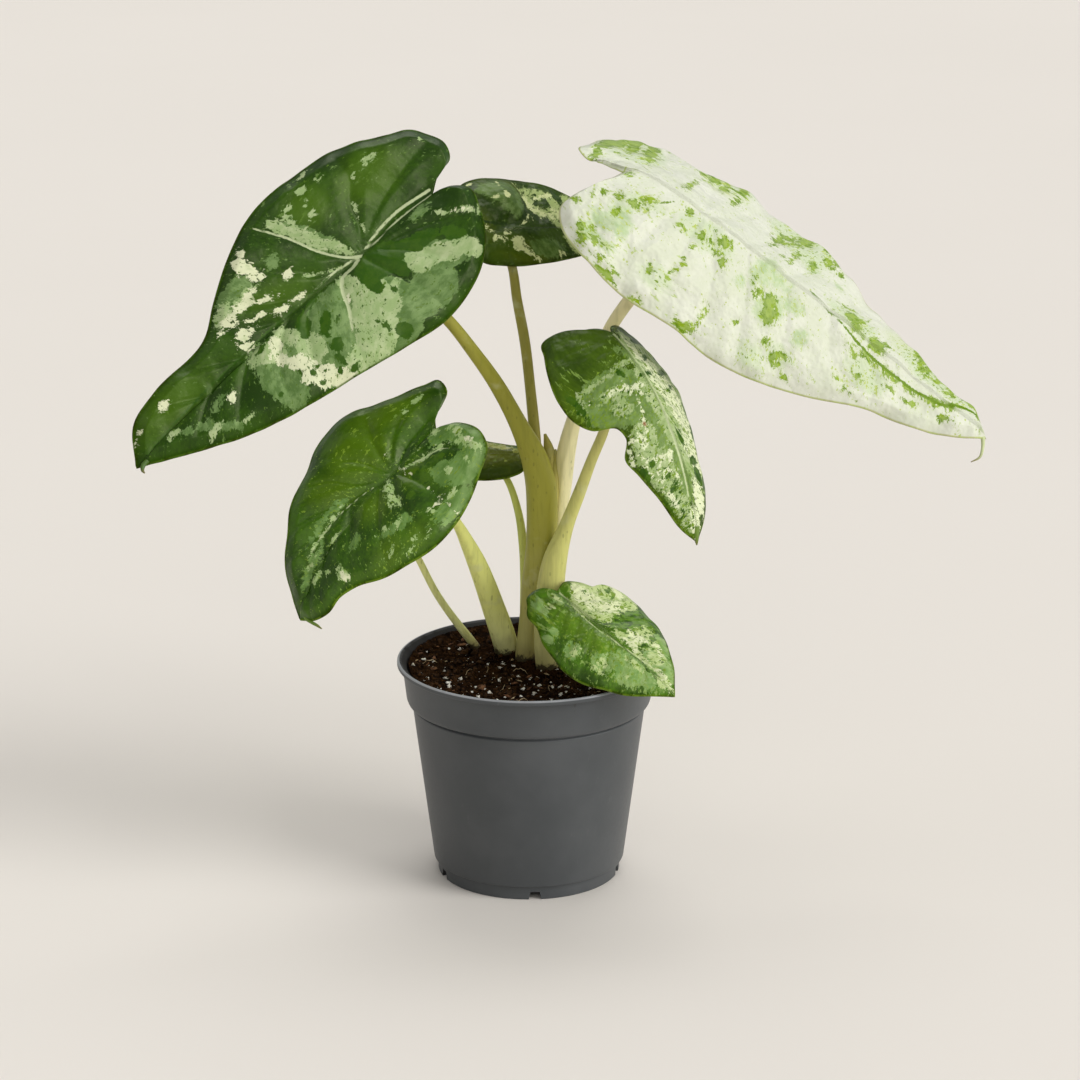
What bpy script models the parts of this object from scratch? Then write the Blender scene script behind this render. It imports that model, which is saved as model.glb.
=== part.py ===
"""A young variegated alocasia in a small round nursery pot.

Lengths in the tables are millimetres from the middle of the pot's foot, angles are degrees.
Meshes are built in metres, +Z up.  Every blade and petiole is a solid of its own, and
touching pieces keep a gap of 0.3 mm.
"""
import math
from dataclasses import dataclass

import bpy
import bmesh
import numpy as np

MM = 0.001
GAP = 0.3

# Where the pot's axis stands, so that the whole plant's box is centred on the origin.
POT_AXIS = (-10.3, 1.5)

# Pot: a thin turned shell with a rolled lip, a collar and a notched foot ring.
POT_HEIGHT = 59.3
RIM_RADIUS = 35.0
LIP_DEPTH = 1.6
COLLAR_TOP_RADIUS = 33.6
COLLAR_BOTTOM_RADIUS = 32.2
COLLAR_DEPTH = 11.3
BODY_TOP_RADIUS = 31.0
BODY_BOTTOM_RADIUS = 25.5
FOOT_RADIUS = 24.4
FOOT_HEIGHT = 3.8
FOOT_WIDTH = 1.6
FOOT_RECESS = 1.6
FLOOR_TOP = 3.4
WALL = 1.0
POT_SEGMENTS = 40
NOTCH_COUNT = 5
NOTCH_FIRST_ANGLE = -86.0
NOTCH_HEIGHT = 2.2
NOTCH_BOTTOM_WIDTH = 3.6
NOTCH_TOP_WIDTH = 2.4
# How far the cutters run past the foot ring, inside, outside and below.
NOTCH_INSIDE, NOTCH_OUTSIDE, NOTCH_BELOW = 1.0, 1.5, 0.5

# Soil: a plug that fills the pot up to a little below the rim.
SOIL_TOP = 54.2
SOIL_EDGE_RISE = 0.4
SOIL_DOME_RADIUS = 18.0

# The small steps that round the section's corners at the lip and under the collar.
EDGE = 0.3
LIP_UNDERCUT = 0.5
LIP_TOP_INSET = 0.7
LIP_INNER_INSET = 1.8
LEDGE_STEP = 0.4
LEDGE_DROP = 0.5

BLADE_THICKNESS = 0.6
VEIN_SLANT = 0.45      # how far forward the rows of a blade lean, as side veins do
LOBE_ROWS = 7
FRONT_ROWS = 9
LOBE_SPACING = 0.8     # below 1 the rows lie closer together towards the junction
FRONT_SPACING = 0.9
BLADE_COLUMNS = 4
MARGIN_SAMPLES = 240
CURVE_SAMPLES = 12     # between two points of a smooth curve
BEND_SAMPLES = 400
BEND_BEHIND = 1.3      # the bend is worked out this far past the lobes
BEND_AHEAD = 1.1       # and this far past the tip
PROBE = 0.05           # short step along a blade from which its normal is found
STEM_SIDES = 8
STEM_RINGS = 16
TOP_CROWDING = 1.35    # rings lie closer together towards the top, where the petiole turns
STEM_ROOT_Z = 46.0
TOP_TURN = 5.0         # how far under the blade a petiole turns square to it
TOP_TAPER = 0.9        # a petiole's radius under its blade, as a share of its last one
SEAT_GAP = 1.3 * GAP


@dataclass
class Blade:
    """A leaf blade: its pose, its bend, and the outline of each half about the midrib.

    The blade is laid out flat first.  The first number of an outline point runs along the
    midrib from the petiole towards the tip, the second is the distance out to the side.
    """
    junction: tuple      # where the petiole meets the blade
    heading: float       # compass turn of the midrib, 0 along +X, 90 along +Y
    pitch: float         # rise of the midrib at the junction
    roll: float          # turn of the blade about its midrib
    sinus: float         # distance from the junction back to the notch between the lobes
    left: list
    right: list
    droop: float = 10.0      # bend of the midrib between junction and tip
    droop_power: float = 1.2
    back: float = 10.0       # bend of the lobes
    bow: float = 0.0         # sideways sweep of the tip
    twist: float = 0.0
    fold: tuple = (0.0, 0.0)     # rise of each half beside the midrib
    curl: tuple = (20.0, 20.0)   # bend of each half from the midrib to curl_width
    curl_width: float = 20.0
    color: tuple = (0.06, 0.13, 0.015)

    @property
    def length(self):
        return self.left[-1][0]

    @property
    def lobe(self):
        return -min(point[0] for point in self.left + self.right)


def plain_half(length, lobe, width, sinus):
    """One half of a small, regular arrow-shaped blade."""
    return [(-0.5 * (sinus + lobe), 0.16 * width), (-lobe, 0.36 * width), (-0.93 * lobe, 0.66 * width),
            (-0.5 * lobe, 0.92 * width), (0.05 * length, width), (0.3 * length, 0.9 * width),
            (0.55 * length, 0.63 * width), (0.8 * length, 0.27 * width), (length, 0.0)]


def small_blade(length, lobe, width, sinus, **pose):
    half = plain_half(length, lobe, width, sinus)
    return Blade(sinus=sinus, left=half, right=half, **pose)


BLADES = {
    "leaf_1_blade": Blade(
        junction=(-42.5, -14.0, 171.5), heading=215, pitch=-32, roll=-46, sinus=26,
        droop=2, back=3, bow=2, twist=-2, fold=(7, 12), curl=(22, 16), curl_width=33,
        left=[(-31, 2), (-34, 6), (-32, 11), (-28, 17), (-22, 22), (-14, 25.5), (-5, 27), (9, 25),
              (24, 22), (43, 18), (59, 12), (70, 6), (80, 0)],
        right=[(-31, 3), (-36, 4), (-38, 8), (-37, 12), (-33, 17), (-28, 19), (-16, 25), (-2, 27),
               (16, 26), (26, 22), (37, 16), (44, 11.5), (64, 10), (73, 8), (80, 0)]),
    "leaf_2_blade": Blade(
        junction=(-5.5, 21.0, 171.0), heading=35, pitch=-5, roll=50, sinus=9,
        droop=12, back=8, fold=(-6, -6), curl=(18, 18), curl_width=20, color=(0.03, 0.07, 0.008),
        left=[(-11, 2), (-14, 5), (-13, 10), (-7, 16), (4, 17.5), (18, 15), (32, 8), (46, 0)],
        right=[(-11, 2), (-13, 4.5), (-11, 8), (-4, 10), (8, 10), (20, 8.5), (33, 5), (46, 0)]),
    "leaf_3_blade": Blade(
        junction=(45.0, -6.0, 181.0), heading=-2, pitch=-38, roll=22, sinus=23,
        droop=1, droop_power=1.5, back=26, bow=-1, twist=18, fold=(-16, -18), curl=(-2, 28),
        curl_width=34, color=(0.75, 0.8, 0.6),
        left=[(-27, 0.4), (-33, 0.2), (-36.5, 3), (-36.5, 10), (-34, 19), (-28, 27), (-18, 31), (-6, 28),
              (6, 32), (18, 33), (32, 30), (44, 22), (62, 14), (75, 9), (88, 5), (94, 0)],
        right=[(-27, 8), (-32, 14), (-35, 20), (-33, 24), (-26, 29), (-17, 32), (-7, 33), (11, 31),
               (21, 31), (31, 29), (47, 23), (63, 15), (78, 10), (89, 4), (94, 0)]),
    "leaf_4_blade": Blade(
        junction=(24.0, -18.0, 149.5), heading=-51, pitch=-31, roll=0, sinus=5,
        droop=52, droop_power=1.0, back=14, fold=(-22, -15), curl=(24, 23), curl_width=22,
        left=[(-9, 4), (-10, 10), (-5, 17), (5, 20), (18, 16.5), (30, 12), (42, 9.5), (50, 5), (56, 0)],
        right=[(-7, 1), (-10, 6), (-14, 12), (-14, 16), (-10, 18), (-3, 21), (7, 23), (15, 22),
               (19.5, 19), (22, 13), (25, 12), (31, 14), (36, 12), (44, 8), (52, 4), (56, 0)]),
    "leaf_5_blade": Blade(
        junction=(-34.5, -20.0, 115.5), heading=214, pitch=-35, roll=-26, sinus=16,
        droop=38, back=-8, bow=3, twist=-4, fold=(6, 16), curl=(30, 24), curl_width=24,
        left=[(-20, 1), (-22, 4), (-23, 9), (-21, 14), (-14, 17.5), (-8, 20), (0, 22), (8, 22),
              (17, 19), (23, 16), (29, 11), (33, 9), (38, 8), (42, 5), (45, 0)],
        right=[(-19, 3), (-23, 4), (-26, 5), (-27, 9), (-24, 11), (-16, 16), (-10, 19), (-3, 22),
               (6, 22), (14, 19), (21, 17), (28, 13), (36, 9), (41, 4), (45, 0)]),
    "leaf_6_blade": small_blade(
        26, 8, 8, 3, junction=(-8.5, 12.0, 112.0), heading=172, pitch=-6, roll=-35, curl_width=10),
    "leaf_7_blade": Blade(
        junction=(11.0, -10.0, 78.0), heading=-40, pitch=-25, roll=16, sinus=5,
        droop=9, back=14, fold=(-4, -6), curl=(12, 21), curl_width=18,
        left=[(-6, 4), (-4, 7), (0, 10.5), (1, 14), (4, 16), (9, 16), (15, 15), (23, 13), (28, 10),
              (34, 5), (39, 0)],
        right=[(-8, 1), (-10, 3), (-10, 6), (-7, 9), (-5, 11), (0, 12), (4, 14), (9, 15), (14, 16),
               (20, 15), (26, 12), (31, 9), (35, 5), (39, 0)]),
    "leaf_8_blade": small_blade(
        22, 7, 8, 3, junction=(-36.0, 8.0, 100.5), heading=200, pitch=-20, roll=-20, curl_width=10),
}

# Petioles: centre line points (x, y, z) with the radius there, from inside the soil upwards.
# Each then runs on to the underside of its own blade.
PETIOLES = {
    "leaf_1_petiole": [
        (-2, 7, 46, 2.9), (-1.2, 7, 54, 2.9), (0.6, 7, 67.5, 3.2), (2, 6.5, 79, 3.7), (3.3, 5.5, 89, 4.0),
        (3.5, 4.5, 99, 4.0), (3, 3.5, 106.5, 3.9), (1.3, 2.7, 113.5, 3.4), (-2.5, 1, 123, 2.4),
        (-7.8, -1.5, 134, 2.0), (-14, -4.5, 144, 1.7), (-20.8, -7, 153.5, 1.5), (-30, -9.5, 162.5, 1.5)],
    "leaf_2_petiole": [
        (2.5, 6.5, 106.5, 1.3), (2, 7, 113.5, 1.5), (1.5, 7.5, 120, 1.5), (0.5, 10, 130, 1.4),
        (-1, 13, 142.5, 1.4), (-3, 16, 153, 1.3), (-4.5, 18.5, 162, 1.2)],
    "leaf_3_petiole": [
        (3, 13.5, 46, 2.2), (3.5, 13, 54, 2.2), (5, 12.5, 65.5, 2.1), (6, 11.5, 76, 2.1), (7, 11, 85, 2.1),
        (8, 10, 96, 2.3), (9, 8.5, 106, 2.5), (10, 7.5, 114.5, 2.4), (11.5, 7, 121.5, 2.0),
        (16, 5, 135, 1.8), (22, 3, 150, 1.7), (27.5, 1.5, 158.5, 1.7), (33.5, 0, 167.5, 1.6)],
    "leaf_4_petiole": [
        (5, 0.5, 46, 3.2), (5.2, 0.5, 54, 3.2), (5, 0, 64, 3.6), (5.4, 0, 75.5, 3.7), (7, -1, 87, 3.2),
        (9.8, -1.8, 96, 2.0), (13.6, -4, 107, 1.6), (16.4, -6, 115.5, 1.4), (19.5, -8, 124, 1.3),
        (21.5, -11, 133, 1.2)],
    "leaf_5_petiole": [
        (-5, 14.5, 46, 2.7), (-5.6, 13.5, 54, 3.1), (-6.5, 12, 59.5, 3.2), (-9.8, 9, 71, 2.9),
        (-13.5, 5, 83, 2.4), (-16, 2, 90, 1.9), (-18.6, -1, 96.5, 1.4), (-23, -5, 103.5, 1.3)],
    "leaf_6_petiole": [
        (-0.4, 15.5, 46, 1.4), (-0.5, 14.5, 54.5, 1.5), (-1, 13.5, 65.5, 1.4), (-1, 12.5, 77, 1.3),
        (-1.5, 12, 87, 1.2), (-3, 12, 97, 1.0), (-5, 12, 103.5, 0.9)],
    "leaf_7_petiole": [
        (10.5, 1.5, 46, 1.5), (10.3, 1.2, 54, 1.4), (10.4, 0, 62, 1.2), (10.6, -3, 69, 1.1)],
    "leaf_8_petiole": [
        (-9, 17.5, 46, 1.2), (-12.5, 16.5, 54, 1.2), (-14.5, 16.2, 57, 1.2), (-19, 15, 63.5, 1.1),
        (-24.5, 13, 72.5, 1.0), (-29.5, 11, 83.5, 0.9), (-33, 9.5, 91, 0.8)],
}

# The small pointed sheath that stands between the second and third petioles.
SHEATH = [(4.6, 9.4, 100, 0.7), (4.9, 9.2, 104, 1.0), (4.9, 9.2, 110, 1.2), (4.3, 9.3, 116, 0.9),
          (3.4, 9.6, 121, 0.3)]
SHEATH_RINGS = 8

STEM_COLOR = (0.33, 0.34, 0.1)
POT_COLOR = (0.085, 0.09, 0.088)
SOIL_COLOR = (0.02, 0.01, 0.006)


def clear_scene():
    for obj in list(bpy.data.objects):
        bpy.data.objects.remove(obj, do_unlink=True)


def make_material(name, color, roughness):
    material = bpy.data.materials.new(name)
    material.use_nodes = True
    shader = material.node_tree.nodes["Principled BSDF"]
    shader.inputs["Base Color"].default_value = (*color, 1.0)
    shader.inputs["Roughness"].default_value = roughness
    shader.inputs["Metallic"].default_value = 0.0
    return material


def add_object(name, points, faces, material=None, parent=None):
    """A smooth-shaded mesh object from points in millimetres."""
    mesh = bpy.data.meshes.new(name)
    mesh.from_pydata([tuple(float(c) * MM for c in point) for point in points], [], faces)
    work = bmesh.new()
    work.from_mesh(mesh)
    bmesh.ops.recalc_face_normals(work, faces=work.faces)
    work.to_mesh(mesh)
    work.free()
    obj = bpy.data.objects.new(name, mesh)
    bpy.context.collection.objects.link(obj)
    if material:
        mesh.materials.append(material)
    mesh.shade_smooth()
    mesh.set_sharp_from_angle(angle=math.radians(40))
    obj.parent = parent
    return obj


def cut(target, cutter):
    """Take the cutter's shape out of the target with an exact Boolean."""
    cutter.hide_render = True
    cutter.display_type = "WIRE"
    modifier = target.modifiers.new("cut_" + cutter.name, "BOOLEAN")
    modifier.operation = "DIFFERENCE"
    modifier.solver = "EXACT"
    modifier.object = cutter


def smooth_curve(points, fractions):
    """Points at the given fractions of the length of a smooth curve through the given points."""
    points = np.array(points, float)
    chord = np.linalg.norm(np.diff(points, axis=0), axis=1)
    slope = np.diff(points, axis=0) / chord[:, None]
    before, after = chord[:-1, None], chord[1:, None]
    middle = (slope[:-1] * after + slope[1:] * before) / (before + after)
    tangent = np.vstack([slope[:1], middle, slope[-1:]])
    t = np.linspace(0, 1, CURVE_SAMPLES, endpoint=False)[:, None]
    pieces = []
    for a, b, ta, tb, size in zip(points, points[1:], tangent, tangent[1:], chord):
        pieces.append((2 * t ** 3 - 3 * t ** 2 + 1) * a + (t ** 3 - 2 * t ** 2 + t) * size * ta
                      + (3 * t ** 2 - 2 * t ** 3) * b + (t ** 3 - t ** 2) * size * tb)
    dense = np.vstack(pieces + [points[-1:]])
    run = np.concatenate([[0], np.cumsum(np.linalg.norm(np.diff(dense, axis=0), axis=1))])
    return np.column_stack([np.interp(fractions * run[-1], run, column) for column in dense.T])


def turn_about(vector, axis, angle):
    """Rodrigues' rotation of a vector about a unit axis, angle in degrees."""
    angle = math.radians(angle)
    return (vector * math.cos(angle) + np.cross(axis, vector) * math.sin(angle)
            + axis * np.dot(axis, vector) * (1 - math.cos(angle)))


def blade_axes(blade):
    """Unit vectors along the midrib, to the left of it, and out of the upper side."""
    heading, pitch = math.radians(blade.heading), math.radians(blade.pitch)
    level = math.cos(pitch)
    along = np.array([level * math.cos(heading), level * math.sin(heading), math.sin(pitch)])
    up = np.array([0.0, 0.0, 1.0]) - along * along[2]
    up = turn_about(up / np.linalg.norm(up), along, blade.roll)
    return along, np.cross(up, along), up


def bend_blade(blade, u, v):
    """Carry flat blade coordinates (u along the midrib, v to the left) to their place in the plant."""
    along, left, up = blade_axes(blade)
    table = np.linspace(-BEND_BEHIND * blade.lobe, BEND_AHEAD * blade.length, BEND_SAMPLES)
    forward = np.clip(table / blade.length, 0, None) ** blade.droop_power
    angle = np.radians(np.where(table > 0, blade.droop * forward, blade.back * table / blade.lobe))
    step = table[1] - table[0]
    run_x = np.cumsum(np.cos(angle)) * step
    run_z = -np.cumsum(np.sin(angle)) * step
    x = np.interp(u, table, run_x) - np.interp(0, table, run_x)
    z = np.interp(u, table, run_z) - np.interp(0, table, run_z)
    slope = np.interp(u, table, angle)[:, None]
    normal = np.cos(slope) * up + np.sin(slope) * along
    turn = np.radians(blade.twist * np.clip(u / blade.length, -1, BEND_AHEAD))[:, None]
    side = np.cos(turn) * left + np.sin(turn) * normal
    normal = np.cos(turn) * normal - np.sin(turn) * left
    start = np.radians(np.where(v >= 0, blade.fold[0], blade.fold[1]))
    rate = np.radians(np.where(v >= 0, blade.curl[0], blade.curl[1])) / blade.curl_width
    width = np.abs(v)
    out = (np.sin(start) - np.sin(start - rate * width)) / rate * np.sign(v)
    rise = (np.cos(start - rate * width) - np.cos(start)) / rate
    sweep = blade.bow * np.clip(u / blade.length, 0, BEND_AHEAD) ** 2
    return (np.array(blade.junction) + x[:, None] * along + z[:, None] * up + sweep[:, None] * left
            + out[:, None] * side + rise[:, None] * normal)


def margin_points(blade, half):
    """Points on one half's margin, one for each row of the blade, and the rows' midrib places."""
    t = np.linspace(0, 1, MARGIN_SAMPLES)
    outline = smooth_curve([(-blade.sinus, 0.0)] + half, t)
    place = np.clip(outline[:, 0] - VEIN_SLANT * outline[:, 1], 0, blade.length)
    turn_over = t[np.argmax(place > 0)]
    lobe_place = -blade.sinus * (1 - np.clip(t / turn_over, 0, 1) ** LOBE_SPACING)
    place = np.maximum.accumulate(np.where(t < turn_over, lobe_place, place) + t * 1e-4)
    lobe_rows = -blade.sinus * (1 - np.linspace(0, 1, LOBE_ROWS, endpoint=False) ** LOBE_SPACING)
    front_rows = np.linspace(0, 1, FRONT_ROWS + 1) ** FRONT_SPACING * blade.length
    rows = np.concatenate([lobe_rows, front_rows])
    where = np.interp(rows, place, t)
    where[0], where[-1] = 0.0, 1.0
    return rows, np.column_stack([np.interp(where, t, outline[:, 0]), np.interp(where, t, outline[:, 1])])


def blade_grid(blade):
    """The flat blade as rows of points from the left margin over the midrib to the right margin."""
    rows, left = margin_points(blade, blade.left)
    rows, right = margin_points(blade, blade.right)
    midrib = np.column_stack([rows, np.zeros(len(rows))])
    columns = []
    for k in range(BLADE_COLUMNS, 0, -1):
        columns.append(midrib + (left - midrib) * k / BLADE_COLUMNS)
    columns.append(midrib)
    for k in range(1, BLADE_COLUMNS + 1):
        columns.append(midrib + (right * (1, -1) - midrib) * k / BLADE_COLUMNS)
    return np.stack(columns, axis=1)


def build_blade(name, blade, material, parent):
    """A thin closed blade: two skins joined round the margin."""
    grid = blade_grid(blade)[1:-1]
    rows, columns = grid.shape[:2]
    ends = np.array([(-blade.sinus, 0.0), (blade.length, 0.0)])
    flat = np.vstack([grid.reshape(-1, 2), ends])
    middle = bend_blade(blade, flat[:, 0], flat[:, 1])
    du = bend_blade(blade, flat[:, 0] + PROBE, flat[:, 1]) - middle
    dv = bend_blade(blade, flat[:, 0], flat[:, 1] + PROBE) - middle
    normal = np.cross(du, dv)
    normal *= 0.5 * BLADE_THICKNESS / np.linalg.norm(normal, axis=1)[:, None]
    count = len(flat)
    points = np.vstack([middle + normal, middle - normal])
    base, tip = count - 2, count - 1

    def at(row, column):
        return row * columns + column

    top = []
    for row in range(rows - 1):
        for column in range(columns - 1):
            top.append((at(row, column), at(row, column + 1),
                        at(row + 1, column + 1), at(row + 1, column)))
    for column in range(columns - 1):
        top.append((base, at(0, column + 1), at(0, column)))
        top.append((tip, at(rows - 1, column), at(rows - 1, column + 1)))
    edge = [base] + [at(row, 0) for row in range(rows)] + [tip]
    edge += [at(row, columns - 1) for row in reversed(range(rows))]
    faces = top + [tuple(reversed([i + count for i in face])) for face in top]
    faces += [(a, b, b + count, a + count) for a, b in zip(edge, edge[1:] + edge[:1])]
    return add_object(name, points, faces, material, parent)


def tube(name, path, material=None, parent=None, extra=0.0, rings=STEM_RINGS):
    """A tapering stem along (x, y, z, radius) points, widened and lengthened by extra."""
    fractions = 1 - np.linspace(1, 0, rings) ** TOP_CROWDING
    line = smooth_curve(path, fractions)
    tangent = np.gradient(line[:, :3], axis=0)
    tangent /= np.linalg.norm(tangent, axis=1)[:, None]
    centre = line[:, :3].copy()
    centre[0] -= tangent[0] * extra
    centre[-1] += tangent[-1] * extra
    angles = np.linspace(0, 2 * math.pi, STEM_SIDES, endpoint=False)
    side = np.array([1.0, 0.0, 0.0])
    points = []
    for middle, direction, radius in zip(centre, tangent, line[:, 3]):
        side = side - direction * np.dot(side, direction)
        side /= np.linalg.norm(side)
        other = np.cross(direction, side)
        for angle in angles:
            points.append(middle + (radius + extra) * (math.cos(angle) * side + math.sin(angle) * other))
    faces = []
    for ring in range(rings - 1):
        for k in range(STEM_SIDES):
            a, b = ring * STEM_SIDES + k, ring * STEM_SIDES + (k + 1) % STEM_SIDES
            faces.append((a, b, b + STEM_SIDES, a + STEM_SIDES))
    faces.append(tuple(reversed(range(STEM_SIDES))))
    faces.append(tuple(range((rings - 1) * STEM_SIDES, rings * STEM_SIDES)))
    return add_object(name, points, faces, material, parent)


def petiole_path(name):
    """A petiole's centre line, run on to just under its blade and square to it."""
    path = PETIOLES[name]
    blade = BLADES[name.replace("petiole", "blade")]
    normal = blade_axes(blade)[2]
    radius = path[-1][3] * TOP_TAPER
    # Where the halves slope down from the midrib, the petiole's end stops lower by as much.
    slope = math.radians(max(0.0, -min(blade.fold)))
    seat = BLADE_THICKNESS / 2 + SEAT_GAP + radius * math.sin(slope)
    for depth in (TOP_TURN, seat):
        path = path + [(*(np.array(blade.junction) - normal * depth), radius)]
    return path


def turned(name, profile, material=None, parent=None, segments=POT_SEGMENTS):
    """A solid turned about Z from (radius, z) points that start and end on the axis."""
    points = [(0, 0, profile[0][1])]
    for radius, z in profile[1:-1]:
        for k in range(segments):
            angle = 2 * math.pi * k / segments
            points.append((radius * math.cos(angle), radius * math.sin(angle), z))
    points.append((0, 0, profile[-1][1]))
    last = len(points) - 1
    rings = len(profile) - 2
    faces = []
    for k in range(segments):
        n = (k + 1) % segments
        faces.append((0, 1 + n, 1 + k))
        for ring in range(rings - 1):
            low, high = 1 + ring * segments, 1 + (ring + 1) * segments
            faces.append((low + k, low + n, high + n, high + k))
        faces.append((last, last - segments + k, last - segments + n))
    return add_object(name, points, faces, material, parent)


def inner_radius(z):
    """Radius of the pot's inner wall at a height."""
    ledge = POT_HEIGHT - COLLAR_DEPTH
    body = (BODY_BOTTOM_RADIUS + (BODY_TOP_RADIUS - BODY_BOTTOM_RADIUS)
            * (z - FOOT_HEIGHT) / (ledge - FOOT_HEIGHT)) - WALL
    collar = (COLLAR_BOTTOM_RADIUS + (COLLAR_TOP_RADIUS - COLLAR_BOTTOM_RADIUS)
              * (z - ledge) / COLLAR_DEPTH) - WALL
    return body if z <= ledge - WALL else collar


def pot_profile():
    """The shell's section: underside, outer wall up to the lip, then down the inner wall."""
    ledge = POT_HEIGHT - COLLAR_DEPTH
    lip = POT_HEIGHT - LIP_DEPTH
    return [
        (0, FOOT_RECESS), (FOOT_RADIUS - FOOT_WIDTH, FOOT_RECESS), (FOOT_RADIUS - FOOT_WIDTH, 0),
        (FOOT_RADIUS, 0), (FOOT_RADIUS, FOOT_HEIGHT), (BODY_BOTTOM_RADIUS, FOOT_HEIGHT),
        (BODY_TOP_RADIUS, ledge - LEDGE_DROP), (COLLAR_BOTTOM_RADIUS - EDGE, ledge),
        (COLLAR_BOTTOM_RADIUS, ledge + LEDGE_STEP), (COLLAR_TOP_RADIUS, lip - EDGE),
        (RIM_RADIUS - EDGE, lip), (RIM_RADIUS, lip + LIP_UNDERCUT),
        (RIM_RADIUS - 2 / 3 * EDGE, POT_HEIGHT - EDGE), (RIM_RADIUS - LIP_TOP_INSET, POT_HEIGHT),
        (RIM_RADIUS - LIP_INNER_INSET, POT_HEIGHT - LEDGE_STEP), (inner_radius(lip), lip),
        (inner_radius(ledge), ledge), (inner_radius(ledge - WALL), ledge - WALL),
        (inner_radius(FLOOR_TOP), FLOOR_TOP), (0, FLOOR_TOP)]


def notch_cutter(index, parent):
    """A tapered block that cuts one drainage notch through the foot ring."""
    angle = math.radians(NOTCH_FIRST_ANGLE + index * 360 / NOTCH_COUNT)
    radial = np.array([math.cos(angle), math.sin(angle), 0])
    across = np.array([-math.sin(angle), math.cos(angle), 0])
    points = []
    for distance in (FOOT_RADIUS - FOOT_WIDTH - NOTCH_INSIDE, FOOT_RADIUS + NOTCH_OUTSIDE):
        for width, z in ((-NOTCH_BOTTOM_WIDTH, -NOTCH_BELOW), (NOTCH_BOTTOM_WIDTH, -NOTCH_BELOW),
                         (NOTCH_TOP_WIDTH, NOTCH_HEIGHT), (-NOTCH_TOP_WIDTH, NOTCH_HEIGHT)):
            points.append(radial * distance + across * width / 2 + np.array([0, 0, z]))
    faces = [(0, 1, 2, 3), (7, 6, 5, 4), (0, 4, 5, 1), (1, 5, 6, 2), (2, 6, 7, 3), (3, 7, 4, 0)]
    return add_object(f"notch_cutter_{index + 1}", points, faces, parent=parent)


def build_pot(parent):
    pot = turned("pot", pot_profile(), make_material("pot_plastic", POT_COLOR, 0.45), parent)
    for index in range(NOTCH_COUNT):
        cut(pot, notch_cutter(index, parent))
    return pot


def build_soil(parent):
    """The soil plug, with a socket round each petiole that grows out of it."""
    ledge = POT_HEIGHT - COLLAR_DEPTH
    top = SOIL_TOP + SOIL_EDGE_RISE
    profile = [(0, FLOOR_TOP + GAP), (inner_radius(FLOOR_TOP) - 2 * GAP, FLOOR_TOP + GAP),
               (inner_radius(ledge - WALL) - GAP, ledge - WALL + GAP),
               (inner_radius(ledge) - GAP, ledge + GAP),
               (inner_radius(top) - GAP, top), (SOIL_DOME_RADIUS, SOIL_TOP), (0, SOIL_TOP)]
    soil = turned("soil", profile, make_material("potting_soil", SOIL_COLOR, 0.95), parent)
    for name, path in PETIOLES.items():
        if path[0][2] <= STEM_ROOT_Z:
            cut(soil, tube("socket_" + name, petiole_path(name), parent=parent, extra=GAP))
    return soil


def build_petioles(parent):
    stems = {}
    for name in PETIOLES:
        material = make_material(name + "_green", STEM_COLOR, 0.45)
        stems[name] = tube(name, petiole_path(name), material, parent)
    # The second petiole rises out of the first one's sheath.
    pocket = tube("second_petiole_pocket", petiole_path("leaf_2_petiole"), parent=parent, extra=GAP)
    cut(stems["leaf_1_petiole"], pocket)
    tube("young_sheath", SHEATH, make_material("sheath_green", STEM_COLOR, 0.5), parent,
         rings=SHEATH_RINGS)
    return stems


def build_plant():
    clear_scene()
    base = bpy.data.objects.new("potted_alocasia", None)
    base.location = (POT_AXIS[0] * MM, POT_AXIS[1] * MM, 0)
    bpy.context.collection.objects.link(base)
    build_pot(base)
    build_soil(base)
    build_petioles(base)
    for name, blade in BLADES.items():
        build_blade(name, blade, make_material(name + "_green", blade.color, 0.35), base)


build_plant()
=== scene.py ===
"""The looks of the potted alocasia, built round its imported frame.

Lengths in the tables are millimetres from the middle of the pot's foot, as in the CAD source,
and angles are degrees.  A place on a blade is (u, v): u runs along the midrib from the petiole
towards the tip, v is the distance to the left of the midrib.
"""

import math
from dataclasses import dataclass, field

import bmesh
import bpy
import numpy as np
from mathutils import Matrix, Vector, noise


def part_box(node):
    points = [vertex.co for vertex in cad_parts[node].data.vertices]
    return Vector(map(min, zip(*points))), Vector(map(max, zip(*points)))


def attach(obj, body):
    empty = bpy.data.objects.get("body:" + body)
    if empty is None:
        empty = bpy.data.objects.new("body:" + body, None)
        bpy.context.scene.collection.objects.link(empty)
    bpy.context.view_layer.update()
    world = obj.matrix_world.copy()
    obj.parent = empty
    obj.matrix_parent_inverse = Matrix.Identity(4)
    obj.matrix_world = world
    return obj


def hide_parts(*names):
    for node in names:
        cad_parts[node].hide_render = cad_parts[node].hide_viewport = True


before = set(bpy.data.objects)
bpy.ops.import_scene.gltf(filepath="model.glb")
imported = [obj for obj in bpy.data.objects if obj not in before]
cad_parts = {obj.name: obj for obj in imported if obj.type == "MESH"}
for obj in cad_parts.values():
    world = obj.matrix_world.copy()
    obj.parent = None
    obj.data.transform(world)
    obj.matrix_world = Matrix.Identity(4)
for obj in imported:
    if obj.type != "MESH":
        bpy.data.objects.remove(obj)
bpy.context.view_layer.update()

MM = 0.001
POT_LO, POT_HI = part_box("pot")
ORIGIN = np.array([(POT_LO[0] + POT_HI[0]) / 2, (POT_LO[1] + POT_HI[1]) / 2, POT_LO[2]])

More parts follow.
